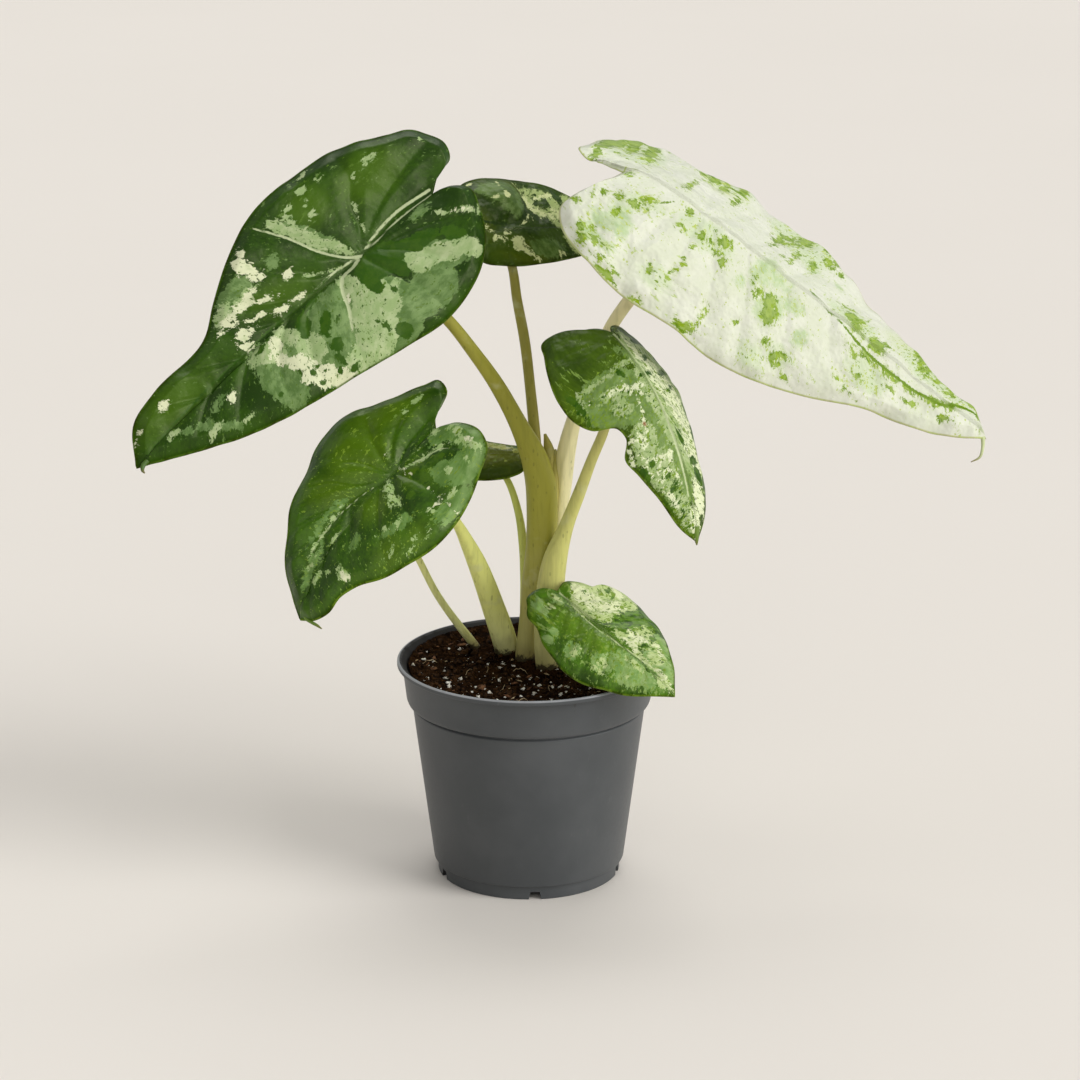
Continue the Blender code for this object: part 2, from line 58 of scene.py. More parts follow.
# Camera: level with the horizon it looks down by CAMERA_TILT at a point up the pot's axis.
CAMERA_TILT = 17.2
CAMERA_DISTANCE = 1.0
CAMERA_AIM = (3.0, 0.0, 92.0)
CAMERA_CLIP = (0.05, 50.0)
FRAME_WIDTH = 284.4      # what the picture's width spans at the aim, in mm
SENSOR = 36.0

# Studio.  Each lamp is a wide sun: its name, where it stands, how wide it looks, its strength.
LAMPS = [("key_sun", (0.85, -0.5, 0.85), 32, 1.25), ("right_sun", (1.0, -0.4, 0.06), 40, 1.7),
         ("top_sun", (0.1, 0.5, 0.9), 40, 0.95), ("front_sun", (0.1, -0.95, 0.4), 60, 0.5),
         ("left_sun", (-0.75, -0.1, 0.8), 34, 0.15)]
SKY_LIGHT = (0.38, 0.38, 0.38, 1)
BACKDROP = (0.795, 0.755, 0.691, 1)      # what is seen past the floor's edge
FLOOR_TONES = ((0.755, 0.71, 0.65), (0.783, 0.738, 0.677))
FLOOR_SIZE = 6.0                         # half of its side, in metres

# Pot.
POT_HEIGHT = 59.3
RIM_RADIUS = 35.0
COLLAR_TOP_RADIUS = 33.6
COLLAR_BOTTOM_RADIUS = 32.2
COLLAR_DEPTH = 11.3
BODY_TOP_RADIUS = 31.0
BODY_BOTTOM_RADIUS = 25.5
FOOT_RADIUS = 24.4
FOOT_HEIGHT = 3.8
FOOT_WIDTH = 1.6
FOOT_RECESS = 1.6
FLOOR_TOP = 3.4
LIP_DEPTH = 1.4
WALL = 1.0
POT_SEGMENTS = 160
CORNER_SIZE, CORNER_STEPS = 0.3, 4       # how the section's corners are rounded
SHARP_ANGLE = 35
GROOVE_DEPTH = 0.55                      # of the shadow line under the collar
GROOVE_TOP, GROOVE_BOTTOM, GROOVE_SLOPE = 0.1, 0.8, 0.4
NOTCH_COUNT = 5
NOTCH_FIRST_ANGLE = -86.0
NOTCH_HEIGHT = 2.2
NOTCH_BOTTOM_WIDTH = 3.6
NOTCH_TOP_WIDTH = 2.4
NOTCH_INSIDE, NOTCH_OUTSIDE, NOTCH_BELOW = 1.0, 1.5, 0.5     # how far the cutters overrun
POT_TONES = ((0.058, 0.063, 0.066), (0.076, 0.081, 0.084))
POT_RUBBED = (0.2, 0.195, 0.19)
POT_SCUFFED = (0.03, 0.024, 0.02)
# The next colour is a painted highlight along the rim's top edge.
POT_RIM_HIGHLIGHT = (0.35, 0.36, 0.375)
# The next colour is painted shade on the inner wall.
POT_INNER_SHADE = (0.008, 0.006, 0.005)

# Soil.
SOIL_TOP = 55.1
SOIL_RADIUS = 32.0
SOIL_FLOOR = 46.0
SOIL_CLEARANCE = 0.7     # the soil stays at least this far under the rim
SOIL_GAP = 0.1           # between the soil and the wall
SOIL_RINGS, SOIL_SPOKES = 110, 300
EDGE_START = 20.0        # the soil rises towards the wall from this radius on
HEAP_HEIGHT, HEAP_WIDTH, HEAP_LIMIT = 1.7, 1.6, 1.2          # round the petioles
SOIL_TONES = ((0.0038, 0.0016, 0.0007), (0.032, 0.0132, 0.0038))
SOIL_FLECK = (0.13, 0.06, 0.022)
# Grains strewn over the soil: name, how many, range of sizes, stretch, unevenness, and their
# material's name, dark tone, light tone and roughness.
GRAINS = [
    ("soil_crumbs", 1100, (0.2, 0.95), (1.0, 0.75, 0.6), 0.9,
     ("soil_crumb_skin", (0.004, 0.0016, 0.0006), (0.06, 0.026, 0.008), 0.85)),
    ("perlite_grains", 260, (0.1, 0.6), (1.0, 0.85, 0.75), 1.5,
     ("perlite_skin", (0.62, 0.56, 0.46), (0.9, 0.88, 0.8), 0.75)),
    ("bark_chips", 46, (0.4, 1.2), (1.5, 0.6, 0.35), 0.7,
     ("bark_skin", (0.06, 0.025, 0.012), (0.22, 0.105, 0.05), 0.7)),
    ("husk_chips", 60, (0.2, 0.8), (1.5, 0.4, 0.25), 0.7,
     ("fibre_skin", (0.3, 0.2, 0.1), (0.6, 0.48, 0.3), 0.7)),
]
GRAIN_DETAIL = 2
GRAIN_SINK = 0.3         # share of a grain's height that is in the soil
FIBRE_COUNT = 9
FIBRE_SIDES, FIBRE_RINGS = 6, 12
SOIL_SEED = 11

# Blades.
VEIN_SLANT = 0.45        # how far forward the rows of a blade lean, as side veins do
VEIN_ROWS = (0.04, 0.16, 0.3, 0.45, 0.6, 0.75)       # where regular veins leave the midrib
LOBE_VEINS = ((0.0, 0.12), (0.3, 0.3), (0.6, 0.5))   # from this share of the rib to the lobe's
LOBE_ROWS, LOBE_SPACING = 90, 0.8        # below 1 the rows lie closer together at the junction
FRONT_ROWS, FRONT_SPACING = 150, 0.95
BLADE_COLUMNS, COLUMN_SPACING = 46, 0.9
SMALL, MIDDLING = (30, 0.4), (50, 0.75)  # blades under this length get this share of the rows
THICKNESS = 0.42
RIM_OVERHANG = 0.35      # how far the margin's middle stands out, as a share of the thickness
GROOVE_WIDTH = 0.6
VALLEY_WIDTH = 3.2
CREASE = 0.5             # how softly the two sides of a vein's valley meet
MARGIN_FADE = 5.0        # how far in from the margin its waves reach
LINE_TAPER = 2.0         # a line keeps its width until 1 / LINE_TAPER of it is left
CURVE_SAMPLES = 12       # between two points of a smooth curve
MARGIN_SAMPLES = 1200
BEND_SAMPLES = 400
BEND_BEHIND = 1.3        # the bend is worked out this far past the lobes
BEND_AHEAD = 1.1         # and this far past the tip
PROBE = 0.05             # short step along a blade from which its normal is found
FIELD_FLOOR = -4.0       # how deep outside every patch a place can count, in mm
HARD_EDGE = 0.06         # half width of the blur at an edge that isn't soft
DRY_SPOT = (0.25, 0.07, 0.03)
DRY_TIP = (0.16, 0.12, 0.03)
TIP_RINGS, TIP_SIDES = 30, 12

# Petioles.
STEM_RINGS, STEM_SIDES = 110, 32
STEM_TOP_DEPTHS = (5.0, 0.5)             # of a petiole's last two points under its blade
STEM_TOP_SHARE = 0.9                     # of the radius, at those points
FOOT_LIMIT = 60                          # a petiole that starts lower has its foot in the soil
SHEATH_FADE = 2.4                        # how far round the stem a sheath's lift runs out
STEM_SHADE = (0.1, 0.12, 0.015)
STEM_SPOT = (0.09, 0.1, 0.02)
STEM_PALE = (0.62, 0.62, 0.36)
STEM_DAMP = (0.15, 0.09, 0.03)
# The next colour is clinging soil and painted shade at the petioles' feet.
STEM_DIRT_AND_SHADE = (0.02, 0.011, 0.005)


@dataclass
class Blade:
    """A leaf blade: its pose, its bend, its outline on each side, and its looks.

    A patch is (u, v, half length, half width) and may have a turn after them.
    """
    junction: tuple
    heading: float
    pitch: float
    roll: float
    sinus: float
    left: list
    right: list
    droop: float = 10.0
    droop_power: float = 1.2
    back: float = 10.0
    bow: float = 0.0
    twist: float = 0.0
    fold: tuple = (0.0, 0.0)
    curl: tuple = (20.0, 20.0)
    curl_width: float = 20.0
    # Where things are.
    sage: list = field(default_factory=list)
    pale: list = field(default_factory=list)
    cream: list = field(default_factory=list)
    green: list = field(default_factory=list)    # green islands on the pale tones
    # Glow patches are yellower parts of the green, and on leaf_6_blade also a painted highlight.
    glow: list = field(default_factory=list)     # yellower parts of the green
    brown: list = field(default_factory=list)
    midrib: list = field(default_factory=list)   # where the midrib wanders off the straight
    veins: list = field(default_factory=list)    # side veins, or none for regular ones
    tip: list = field(default_factory=list)      # the drawn-out tip: (u, v, radius)
    # Pale lines run along veins; on leaf_2_blade the pale line is a painted highlight along a lobe's
    # rim.
    pale_and_highlight_lines: list = field(default_factory=list)   # along veins: (half width, points)
    # Dark lines, as (half width, points), lie along veins and creases; those on leaf_1_blade and
    # leaf_2_blade are painted shade.
    dark_and_shade_lines: list = field(default_factory=list)
    dents: list = field(default_factory=list)    # (u, v, half length, half width, turn, rise)
    # How they look.
    seed: float = 0.0
    ragged: float = 1.0         # size of the tones' ragged edges, in mm
    island_ragged: float = 0.6  # the same for the green islands, as a share of it
    specks: float = 0.3         # how much thicker small specks are strewn near the patches
    speck_level: float = 0.63   # how rare they are
    halo: float = 0.0           # width of the paler border round the green islands
    soft: float = HARD_EDGE     # half width of the blur between sage, pale and green
    depth: float = 0.5          # how deep the veins lie below the surface between them
    crease: float = 1.0         # how strongly the midrib is sunk
    wave: float = 0.8           # height of the margin's waves
    # margin_shade sets how dark the painted shade along the margin is.
    margin_shade: float = 0.55
    shine: float = 0.2
    pucker: float = 0.45        # strength of the soft hollows between the veins
    dark: tuple = (0.016, 0.055, 0.001)
    bright: tuple = (0.042, 0.11, 0.002)
    glow_color: tuple = (0.09, 0.17, 0.003)
    sage_color: tuple = (0.1, 0.18, 0.045)
    sage_light: tuple = (0.18, 0.28, 0.09)
    pale_color: tuple = (0.3, 0.41, 0.17)
    cream_color: tuple = (0.66, 0.68, 0.44)
    island: tuple = (0.05, 0.12, 0.004)
    island_dark: tuple = (0.02, 0.07, 0.001)
    speck: tuple = (0.16, 0.26, 0.02)
    # The next colour is the painted shade along the margin and at its very edge.
    rim: tuple = (0.03, 0.04, 0.004)

    @property
    def length(self):
        return self.left[-1][0]

    @property
    def lobe(self):
        return -min(point[0] for point in self.left + self.right)


def plain_half(length, lobe, width, sinus):
    return [(-0.5 * (sinus + lobe), 0.04 * width), (-lobe, 0.3 * width),
            (-0.93 * lobe, 0.66 * width), (-0.5 * lobe, 0.92 * width), (0.05 * length, width),
            (0.3 * length, 0.9 * width), (0.55 * length, 0.63 * width),
            (0.8 * length, 0.27 * width), (length, 0.0)]


BLADES = {
    "leaf_1_blade": Blade(
        junction=(-42.5, -14.0, 171.5), heading=215, pitch=-32, roll=-46, sinus=26, droop=2, back=3,
        bow=2, twist=-2, fold=(7, 12), curl=(22, 16), curl_width=33,
        left=[(-31, 2), (-34, 6), (-32, 11), (-28, 17), (-22, 22), (-14, 25.5), (-5, 27), (9, 25),
            (24, 22), (43, 18), (59, 12), (70, 6), (80, 0)],
        right=[(-31, 3), (-36, 4), (-38, 8), (-37, 12), (-33, 17), (-28, 19), (-16, 25), (-2, 27),
            (16, 26), (26, 22), (37, 16), (44, 11.5), (64, 10), (73, 8), (80, 0)],
        pale_and_highlight_lines=[(0.36, [(-26, -1.3), (-14, -2.5), (-4, -1.2), (0, 0)]),
            (0.3, [(-25, 0.1), (-12, -0.6), (-2, 0.5)]),
            (0.45, [(0, 0), (3, 1), (8, 1.5), (10.5, 4), (12.5, 8), (16.5, 13.5)]),
            (0.35, [(0, 0), (3, -2), (8, -8.5), (11, -15), (14, -20), (16, -23)]),
            (0.3, [(0, 0), (8, -1.4), (16, -1.5)])],
        # The dark line along the midrib is painted shade in its crease.
        dark_and_shade_lines=[(0.22, [(10, -1.4), (20, -1.5), (40, -1.7), (64, -1.2), (78, -0.2)])], seed=1.0,
        ragged=0.75, specks=1.3, depth=2.3, wave=0.9, margin_shade=0.12, speck_level=0.63,
        shine=0.27, pucker=0.12, dark=(0.008, 0.032, 0.0005), bright=(0.022, 0.068, 0.0008),
        glow_color=(0.05, 0.115, 0.001), sage_color=(0.078, 0.148, 0.036),
        sage_light=(0.15, 0.24, 0.078), pale_color=(0.27, 0.37, 0.15), cream_color=(0.6, 0.62, 0.4),
        island=(0.03, 0.085, 0.002), speck=(0.07, 0.14, 0.012),
        midrib=[(-26, -1.2), (-14, -2), (-4, -0.6), (0, 0), (20, -1.0), (40, -1.6), (60, -1.2),
            (80, 0)],
        veins=[[(0, 0), (-5, -3), (-14, -7), (-24, -9.5), (-33, -11)],
            [(-1, -1), (-5, -6), (-7, -11), (-12, -17), (-13, -23)],
            [(2, -1), (4, -3.5), (8, -8.5), (11, -15), (14, -20), (16, -23)],
            [(6, -1), (11, -3), (16, -8), (21, -12), (24, -17)],
            [(16, -1.3), (22, -4), (30, -9), (34, -13)], [(28, -1.5), (36, -6), (41, -9)],
            [(42, -1.5), (50, -6), (56, -9)], [(56, -1.3), (63, -5), (69, -7)],
            [(0, 0), (-6, 2), (-14, 4), (-22, 7.5), (-29, 12)],
            [(-5, 2), (-11, 9), (-16, 17), (-18, 22)], [(0, 0.5), (-2, 8), (-5, 16), (-6, 24)],
            [(3, 0.5), (8, 1.5), (10.5, 4), (12.5, 8), (16.5, 13.5), (20, 21)],
            [(14, 0.5), (22, 3), (27, 9), (31, 17)], [(26, 0), (33, 4), (38, 10), (41, 16)],
            [(38, -1), (46, 4), (52, 9), (55, 12)], [(52, -1), (60, 3.5), (66, 7)]],
        tip=[(77, 0.6, 0.8), (78.8, 1, 0.6), (79.6, 1.8, 0.4), (79.7, 2.6, 0.15)],
        # The sage patch at (7, -12) and the pale patches beside it turned about -60 are partly the
        # blade's own paler tone and partly a painted sheen along the vein there.
        sage=[(-5, 19, 9.5, 5.5), (15, 4.5, 8.5, 4), (31, 5, 4, 5), (39, 11, 4.6, 8),
            (-19, 2, 3, 1.4), (-13, 13, 9, 4, -35), (8, 15, 11, 11), (24, 13, 9, 10),
            (36, 3, 6, 4), (32, -14, 6, 3, 10), (54.5, 3.5, 3, 0.9, 10), (57, 9, 4, 1, -35),
            (61, 5, 2, 0.8, -30), (65, 3.3, 1.6, 0.8), (19, -14, 2, 1.6), (7, -12, 9, 2.2, -61)],
        pale=[(-21, 17, 4.5, 2.6, -45), (-15.5, 14, 5, 2.6, -35), (-10, 12, 4.5, 3, -20),
            (-8, 8, 2, 1.6, -50), (8, 13, 7.5, 6, 15), (13, 19, 8, 5, 15), (8, 6, 3, 5),
            (20, 20, 5, 3), (1, 13, 3, 1.4, 30), (27, 9, 3.6, 5), (29, 3, 2.4, 4, 20),
            (36, 3, 5, 3, -20), (3.2, -5.5, 4, 1.4, -63), (7.5, -12.5, 6.5, 2, -60),
            (11, -18.5, 3.4, 1.6, -60), (2.3, -15.5, 1.2, 1), (2, -18.5, 1, 0.7),
            (7.5, -19, 1.4, 1.6), (6, -20.5, 1.5, 0.9), (0, -22, 1.5, 0.9), (-5, -21.5, 1.2, 0.7),
            (-3, -25, 2, 0.6), (-12.5, -16, 1.2, 0.7, 30), (-19, -17, 1.5, 0.7),
            (-33, -12.5, 1, 0.7), (37, -12.5, 4, 1.6, 25), (31, -12, 4, 1), (58.5, 7.5, 1.2, 1),
            (60.5, 8, 2.4, 0.6, 25), (68, 1.3, 1.6, 0.9), (51.2, 11.5, 1, 0.5),
            (-6.5, -8, 0.4, 2.2, -20), (12, -4, 3, 0.4, -30), (-28.5, 9.8, 2, 0.6, -38),
            (-24, 6.6, 1.2, 0.25, -34), (-30.5, 11.8, 1, 0.4, 30)],
        cream=[(-28, 9.3, 1.4, 0.2, -35), (27, 20, 3.5, 2.2, -30), (30, 17, 4, 2.8, -10),
            (33, 14.5, 2.4, 1.8), (31.5, 11, 3, 2, -50), (34.3, 7, 1.6, 3.4, 20),
            (33, 2.6, 2.4, 1.8, 40), (11, 6.5, 0.9, 1), (17.5, -8.8, 1.8, 1, 10),
            (20, -3, 1.5, 0.4, -10), (25.5, -3.3, 2, 0.8, -10), (27, -8, 2.2, 0.5, -20),
            (32, -6, 2.2, 0.6, -20), (36.5, -5, 2.8, 1.4, -10), (38.6, -2.6, 2, 0.9, -35),
            (38, -8.8, 2, 0.6, -10), (23.5, -12.7, 1.6, 1), (24.7, -15, 1.3, 2.6, -20),
            (25.8, -18, 1.6, 2.6, -10), (23.5, -20.5, 1.6, 0.9, 10), (34, -10.5, 6, 1.3, 8),
            (50.8, 4.7, 1.5, 1.1, 40), (64.5, -6, 1.2, 0.9), (76, -4.5, 2, 0.4, 20)],
        green=[(26.2, 18.4, 0.8, 0.9), (31.3, 17.8, 1.1, 0.6, -20), (29, 16, 0.5, 0.4),
            (31.5, 14.5, 0.6, 1.2, -10), (31.3, 12.5, 0.5, 0.5), (22.5, 20.5, 1.5, 0.8),
            (22, 13.5, 2, 1.7, 30), (24, 16.5, 0.9, 2), (20, 7.5, 3.5, 1.5, 35),
            (17, 8.8, 1.2, 0.6, 30), (22, 9.8, 0.9, 1.2), (24, 3.8, 2.6, 2, 40),
            (25.6, 5.8, 1.5, 1.2), (36, 0.8, 3, 0.7, 15), (9.3, 18, 0.8, 1.8), (6.5, 22, 2, 2.4),
            (10, 15.8, 0.7, 0.6), (3.7, 8, 2, 3.4), (-2, 5, 8, 4.2), (-13, 7.5, 5.5, 2.2, -15),
            (-4.5, 10, 1.8, 2.2), (1, 12.5, 1, 1), (-21, 12, 2, 3.6, 40), (41.5, 13, 0.7, 0.6),
            (19, 1, 3, 0.6, 10), (29.8, 14, 0.5, 0.4)],
        glow=[(64, -5, 12, 4), (24, -7, 8, 3, -20), (-16, -14, 9, 6), (2, -18, 6, 5)]),
    "leaf_2_blade": Blade(
        junction=(-5.5, 21.0, 171.0), heading=35, pitch=-5, roll=50, sinus=9, droop=12, back=8,
        fold=(-6, -6), curl=(18, 18), curl_width=20,
        left=[(-11, 2), (-14, 5), (-13, 10), (-7, 16), (4, 17.5), (18, 15), (32, 8), (46, 0)],
        right=[(-11, 2), (-13, 4.5), (-11, 8), (-4, 10), (8, 10), (20, 8.5), (33, 5), (46, 0)],
        # Painted light and shade: the pale line is a painted highlight on the rim of the bulging lobe,
        # and the dark lines are painted shade along that lobe's edge and in the creases.
        pale_and_highlight_lines=[(0.14, [(9.0, 15.8), (9.8, 12.5), (9.9, 10), (9.4, 8)])],
        dark_and_shade_lines=[(0.5, [(9.2, 9.5), (8.8, 6.8), (7.6, 4.6), (5.5, 2.6), (2, 1.4)]),
            (0.35, [(-8, 3.5), (-5, 2.5), (-1, 2), (3, 1.4)]),
            (0.3, [(9, 17), (13, 14.6), (18, 13)])],
        dents=[(3, 10, 5, 5.5, 0, 2.2), (11, 8, 3, 5, 0, -0.9), (0, 1.5, 7, 2, 10, -0.8),
            (8, -4, 7, 3, -20, 0.8)],
        seed=2.0, ragged=0.9, specks=1.0, depth=0.3, wave=0.6, dark=(0.014, 0.036, 0.001),
        bright=(0.034, 0.07, 0.002), glow_color=(0.09, 0.12, 0.003),
        sage_color=(0.055, 0.105, 0.016), sage_light=(0.11, 0.18, 0.045),
        pale_color=(0.3, 0.38, 0.13), cream_color=(0.56, 0.6, 0.29), island=(0.025, 0.06, 0.002),
        island_dark=(0.012, 0.034, 0.001), speck=(0.09, 0.14, 0.03), soft=0.4, margin_shade=0.3,
        sage=[(4, 10.5, 5, 6), (-1, 12.5, 3, 2.4), (6, 5.5, 3, 1.5, 40), (10.5, -6, 6, 2.4)],
        pale=[(11.4, 9, 1.5, 4.6, 10), (13, 5, 3.2, 1.3, -35), (16, 2, 3.4, 1.3, -45),
            (18.4, 6, 2.4, 5), (19.2, -2, 1.2, 4.5, 8), (15, 11, 3, 1.8, -20), (24, 9, 3, 2, 15),
            (12.4, 12.6, 1.4, 1.4)],
        cream=[(11, 7.4, 0.9, 2.8, 12), (12.6, 5.2, 2.2, 0.6, -35), (16.6, 10.2, 2.2, 0.7, 10),
            (18.2, 3, 0.9, 2.8, 10), (15.6, 3, 1.9, 0.6, -45), (3.4, 9.5, 0.5, 0.8, -10),
            (3.3, 14.8, 0.3, 0.6, -10), (4, 16.3, 0.3, 0.2), (-0.2, 9.4, 0.3, 0.2),
            (-5, 15.8, 0.6, 0.2, 20), (-4.8, -1, 0.5, 1.5), (-5.8, 0.6, 0.6, 0.5),
            (-2.8, -2.4, 1, 0.3, -30), (1.6, -4.4, 1.8, 1.5), (4.2, -6.2, 1.6, 0.8, -45),
            (6.3, -8, 2, 0.5, -50), (-0.6, -1, 0.8, 0.35, 30), (6.6, 2.4, 2, 0.35, 35),
            (9.8, 3.8, 1.2, 0.3, 30), (15, -7.6, 0.8, 0.5)],
        green=[(16, 8, 1.4, 1.7), (13.2, 8.3, 0.7, 0.9), (14.2, 11, 0.7, 0.4),
            (21, 10, 1.3, 3, 10)],
        glow=[(7, -7.5, 3, 1, -40), (2.5, -8.6, 3, 0.8, -15), (-6, 2, 1, 2), (6.5, 13, 2, 2)]),
    "leaf_3_blade": Blade(
        junction=(45.0, -6.0, 181.0), heading=-2, pitch=-38, roll=22, sinus=23, droop=1,
        droop_power=1.5, back=26, bow=-1, twist=18, fold=(-16, -18), curl=(-2, 28), curl_width=34,
        left=[(-27, 0.4), (-33, 0.2), (-36.5, 3), (-36.5, 10), (-34, 19), (-28, 27), (-18, 31),
            (-6, 28), (6, 32), (18, 33), (32, 30), (44, 22), (62, 14), (75, 9), (88, 5), (94, 0)],
        right=[(-27, 8), (-32, 14), (-35, 20), (-33, 24), (-26, 29), (-17, 32), (-7, 33), (11, 31),
            (21, 31), (31, 29), (47, 23), (63, 15), (78, 10), (89, 4), (94, 0)],
        dark_and_shade_lines=[(0.42, [(89, 2.8), (84, 1.5), (80, -0.8), (74, -2.4), (68, -3.2), (60, -3.4),
            (53, -2.8), (43, -0.8)]), (0.2, [(34, 0), (40, -0.5), (47, -1.5)]),
            (0.2, [(-8, -3), (-12, -7)])],
        dents=[(-33, -1, 9, 7, 0, -3.2), (10, 27, 5, 8, -20, 1.2), (24, 26, 4, 8, -20, -1.2),
            (36, 22, 5, 7, -20, 1.3), (50, 15, 5, 6, -20, -1), (62, 10, 5, 5, -20, 0.9)],
        seed=3.0, ragged=0.9, specks=1.5, depth=1.3, wave=1.4,
        midrib=[(-23, -1), (-10, -0.8), (0, 0), (20, -0.5), (35, -0.2), (44, -1), (52, -2.7),
            (60, -3.3), (70, -3), (78, -1.3), (84, 1.5), (90, 2), (94, 0)],
        tip=[(90, 2.2, 1.1), (92.4, 0.4, 0.7), (94.6, -2.6, 0.45), (95.4, -5, 0.35),
            (94.2, -7.6, 0.12)],
        dark=(0.6, 0.625, 0.49), bright=(0.66, 0.67, 0.565), glow_color=(0.55, 0.61, 0.36),
        sage_color=(0.41, 0.52, 0.28), sage_light=(0.51, 0.59, 0.38), pale_color=(0.53, 0.6, 0.4),
        cream_color=(0.66, 0.67, 0.565), island=(0.24, 0.36, 0.012),
        island_dark=(0.12, 0.22, 0.002), halo=0.4, crease=0.45, speck=(0.4, 0.49, 0.1),
        margin_shade=0.0, soft=1.1, speck_level=0.61, rim=(0.4, 0.4, 0.16), shine=0.25,
        island_ragged=1.25,
        sage=[(-19, -16, 3.4, 5.5, 30), (-23, -19, 4, 2.4, -20), (21, -4, 3, 4.6, -10),
            (25, -3, 4, 2, 10), (32, -6, 3, 2, 20), (17, -9.8, 1.6, 1.6), (27, -11, 4, 4.5),
            (32.5, 14.5, 2, 4, -5), (-18.5, -25, 2.4, 1.4, 20), (41.3, 12.5, 1.5, 1.2),
            (-25, -24, 4, 2.4), (38, -12, 2, 2.4)],
        pale=[(3, 28, 9, 6), (28, 22, 10, 8, -30), (-24, 18, 10, 12), (75, 5, 12, 4),
            (48, 3, 8, 4), (3, -6, 8, 4), (-16, -9, 6, 2.4, 15), (-2, -24, 5, 3), (30, -24, 4, 3),
            (36, -19, 4, 2.4), (58, -8, 6, 4)],
        green=[(-32.5, 4, 1.2, 6), (-32, 12, 2, 5), (-30, 20, 3.4, 8), (-26, 25, 4, 5),
            (-24.5, 18, 1.6, 5, -5), (-21, 27, 2.2, 3), (-19, 18, 1.5, 8), (-19, 25, 1.8, 3),
            (-34.5, 23, 0.8, 1.6, 10), (-15, 30, 0.8, 2.5, 10), (-4, 23, 1.2, 1.6, -40),
            (0.5, 25, 1.3, 5.5, -25), (3, 24, 1, 3.5, -5), (3, 30.5, 2.2, 1.4, 50),
            (8.5, 27, 1, 5, -10), (6.8, 18.5, 0.9, 2.8, -28), (-6.3, 9.5, 0.7, 3.6, -15),
            (22, 17, 1.3, 5.5, -20), (24, 22, 1.1, 4, -40), (26.5, 20, 1.1, 4.5, -50),
            (29, 25, 2.2, 3, -40), (30.5, 28, 3, 1.4), (21, 12, 0.9, 2.5, -20), (24, 7, 1.2, 1.4),
            (26, 8, 0.7, 1.8, -20), (27.5, 14, 0.8, 2.5, -20), (32.5, 14, 1.2, 2.4),
            (35.5, 25, 1, 1.4), (36.5, 20, 1.7, 1.8), (38.5, 22, 0.8, 1.6), (40.5, 19, 0.9, 1.2),
            (47, 3, 2, 2.5, -20), (49, 1, 2, 2), (50, 4.5, 0.8, 1.8, -20), (46, 6.5, 2.2, 0.6, 20),
            (56.5, 0.5, 2.6, 2.3, 10), (58.5, 2.5, 1.4, 1.4), (51.5, 0.5, 0.8, 1.2),
            (66, 12.5, 2, 1.4, -30), (67.5, 9, 1, 3, 15), (69.5, 6, 1.3, 3.5, 10),
            (72, 5.5, 1, 2.4), (75.5, 5.5, 1, 2.2), (79.5, 5, 1.6, 3, -20),
            (80.5, 6.5, 3, 0.9, 20), (85.5, 5.5, 2.5, 1.8, -40), (89, 3.5, 3.4, 1.1, -55),
            (76, -2.3, 3.5, 0.8, 15), (80, -0.8, 2.5, 0.9, 30), (83, 1, 3, 0.6, 35),
            (58, -4.2, 4.5, 0.6), (63, -4, 2, 0.6), (69, -3.8, 2.5, 0.4),
            (52, -5.8, 1.4, 0.9, -15), (57, -10.2, 1.7, 0.8, -10), (70.5, -6.5, 1.6, 0.5, 10),
            (65.5, -7, 0.9, 0.4), (81.5, -3.8, 1.2, 0.5, 20), (56, -14.8, 0.9, 0.4),
            (51.5, -14, 0.4, 0.3), (-22, -2.2, 1.1, 1.6, -35), (-3.8, -3, 1.3, 1.4),
            (-14.8, -7.5, 2.2, 0.7, 35), (-16.5, -10.5, 2.5, 0.7, 15), (-22, -10.8, 1.5, 0.9, 20),
            (-25.5, -11.2, 1.2, 0.7, 25), (-27.8, -13.7, 0.5, 0.6), (-31.8, -17, 1, 0.9),
            (-20.5, -15, 0.7, 1.6), (-28, -23.5, 1.2, 1.3), (-26.5, -25.5, 2.4, 1.4, -40),
            (-24, -22.5, 1.8, 1, 30), (-23, -25, 0.9, 1.4), (-18.5, -25, 1.4, 0.7, 20),
            (-20, -28.5, 2.4, 0.7, -10), (-15.5, -31.2, 3, 0.8, -10), (-14, -29.5, 1.3, 0.5),
            (-4.5, -31.8, 1.6, 0.5), (-4.3, -8.5, 0.6, 0.5), (-2.6, -9, 0.5, 0.5),
            (2.3, -7, 0.8, 1.1), (4.5, -6.8, 0.7, 0.9), (1.8, -11, 0.6, 0.8), (8, -4.5, 1.8, 1.7),
            (7.8, -7.5, 1, 1.3), (10, -9, 0.7, 1.2, 20), (10, -3.5, 0.8, 0.8),
            (1.4, -17.5, 0.7, 1.5, -10), (0.7, -22.5, 0.8, 0.7), (-5, -24, 0.7, 0.9),
            (26, -9.2, 2.3, 2.2), (28, -12.5, 2.6, 2.4, -30), (22.2, -10, 0.6, 1.2),
            (20, -6.5, 0.5, 0.9), (22.2, -19.3, 0.6, 0.7), (31.3, -18.8, 1.2, 0.9),
            (35, -20.3, 1.2, 1.4), (37.3, -21, 1, 1), (37, -18.5, 0.8, 0.5), (41, -22.5, 0.8, 0.4),
            (13, -28.5, 1.2, 0.8), (11, -29.8, 1.2, 0.7), (8.5, -29, 0.8, 0.6),
            (14, -25.5, 0.5, 1, -20), (13.2, -22, 0.3, 1.1)],
        glow=[(-27, 20, 8, 10), (70, 8, 10, 5), (3, 25, 6, 6)]),
    "leaf_4_blade": Blade(
        junction=(24.0, -18.0, 149.5), heading=-51, pitch=-31, roll=0, sinus=5, droop=52,
        droop_power=1.0, back=14, fold=(-22, -15), curl=(24, 23), curl_width=22,
        left=[(-9, 4), (-10, 10), (-5, 17), (5, 20), (18, 16.5), (30, 12), (42, 9.5), (50, 5),
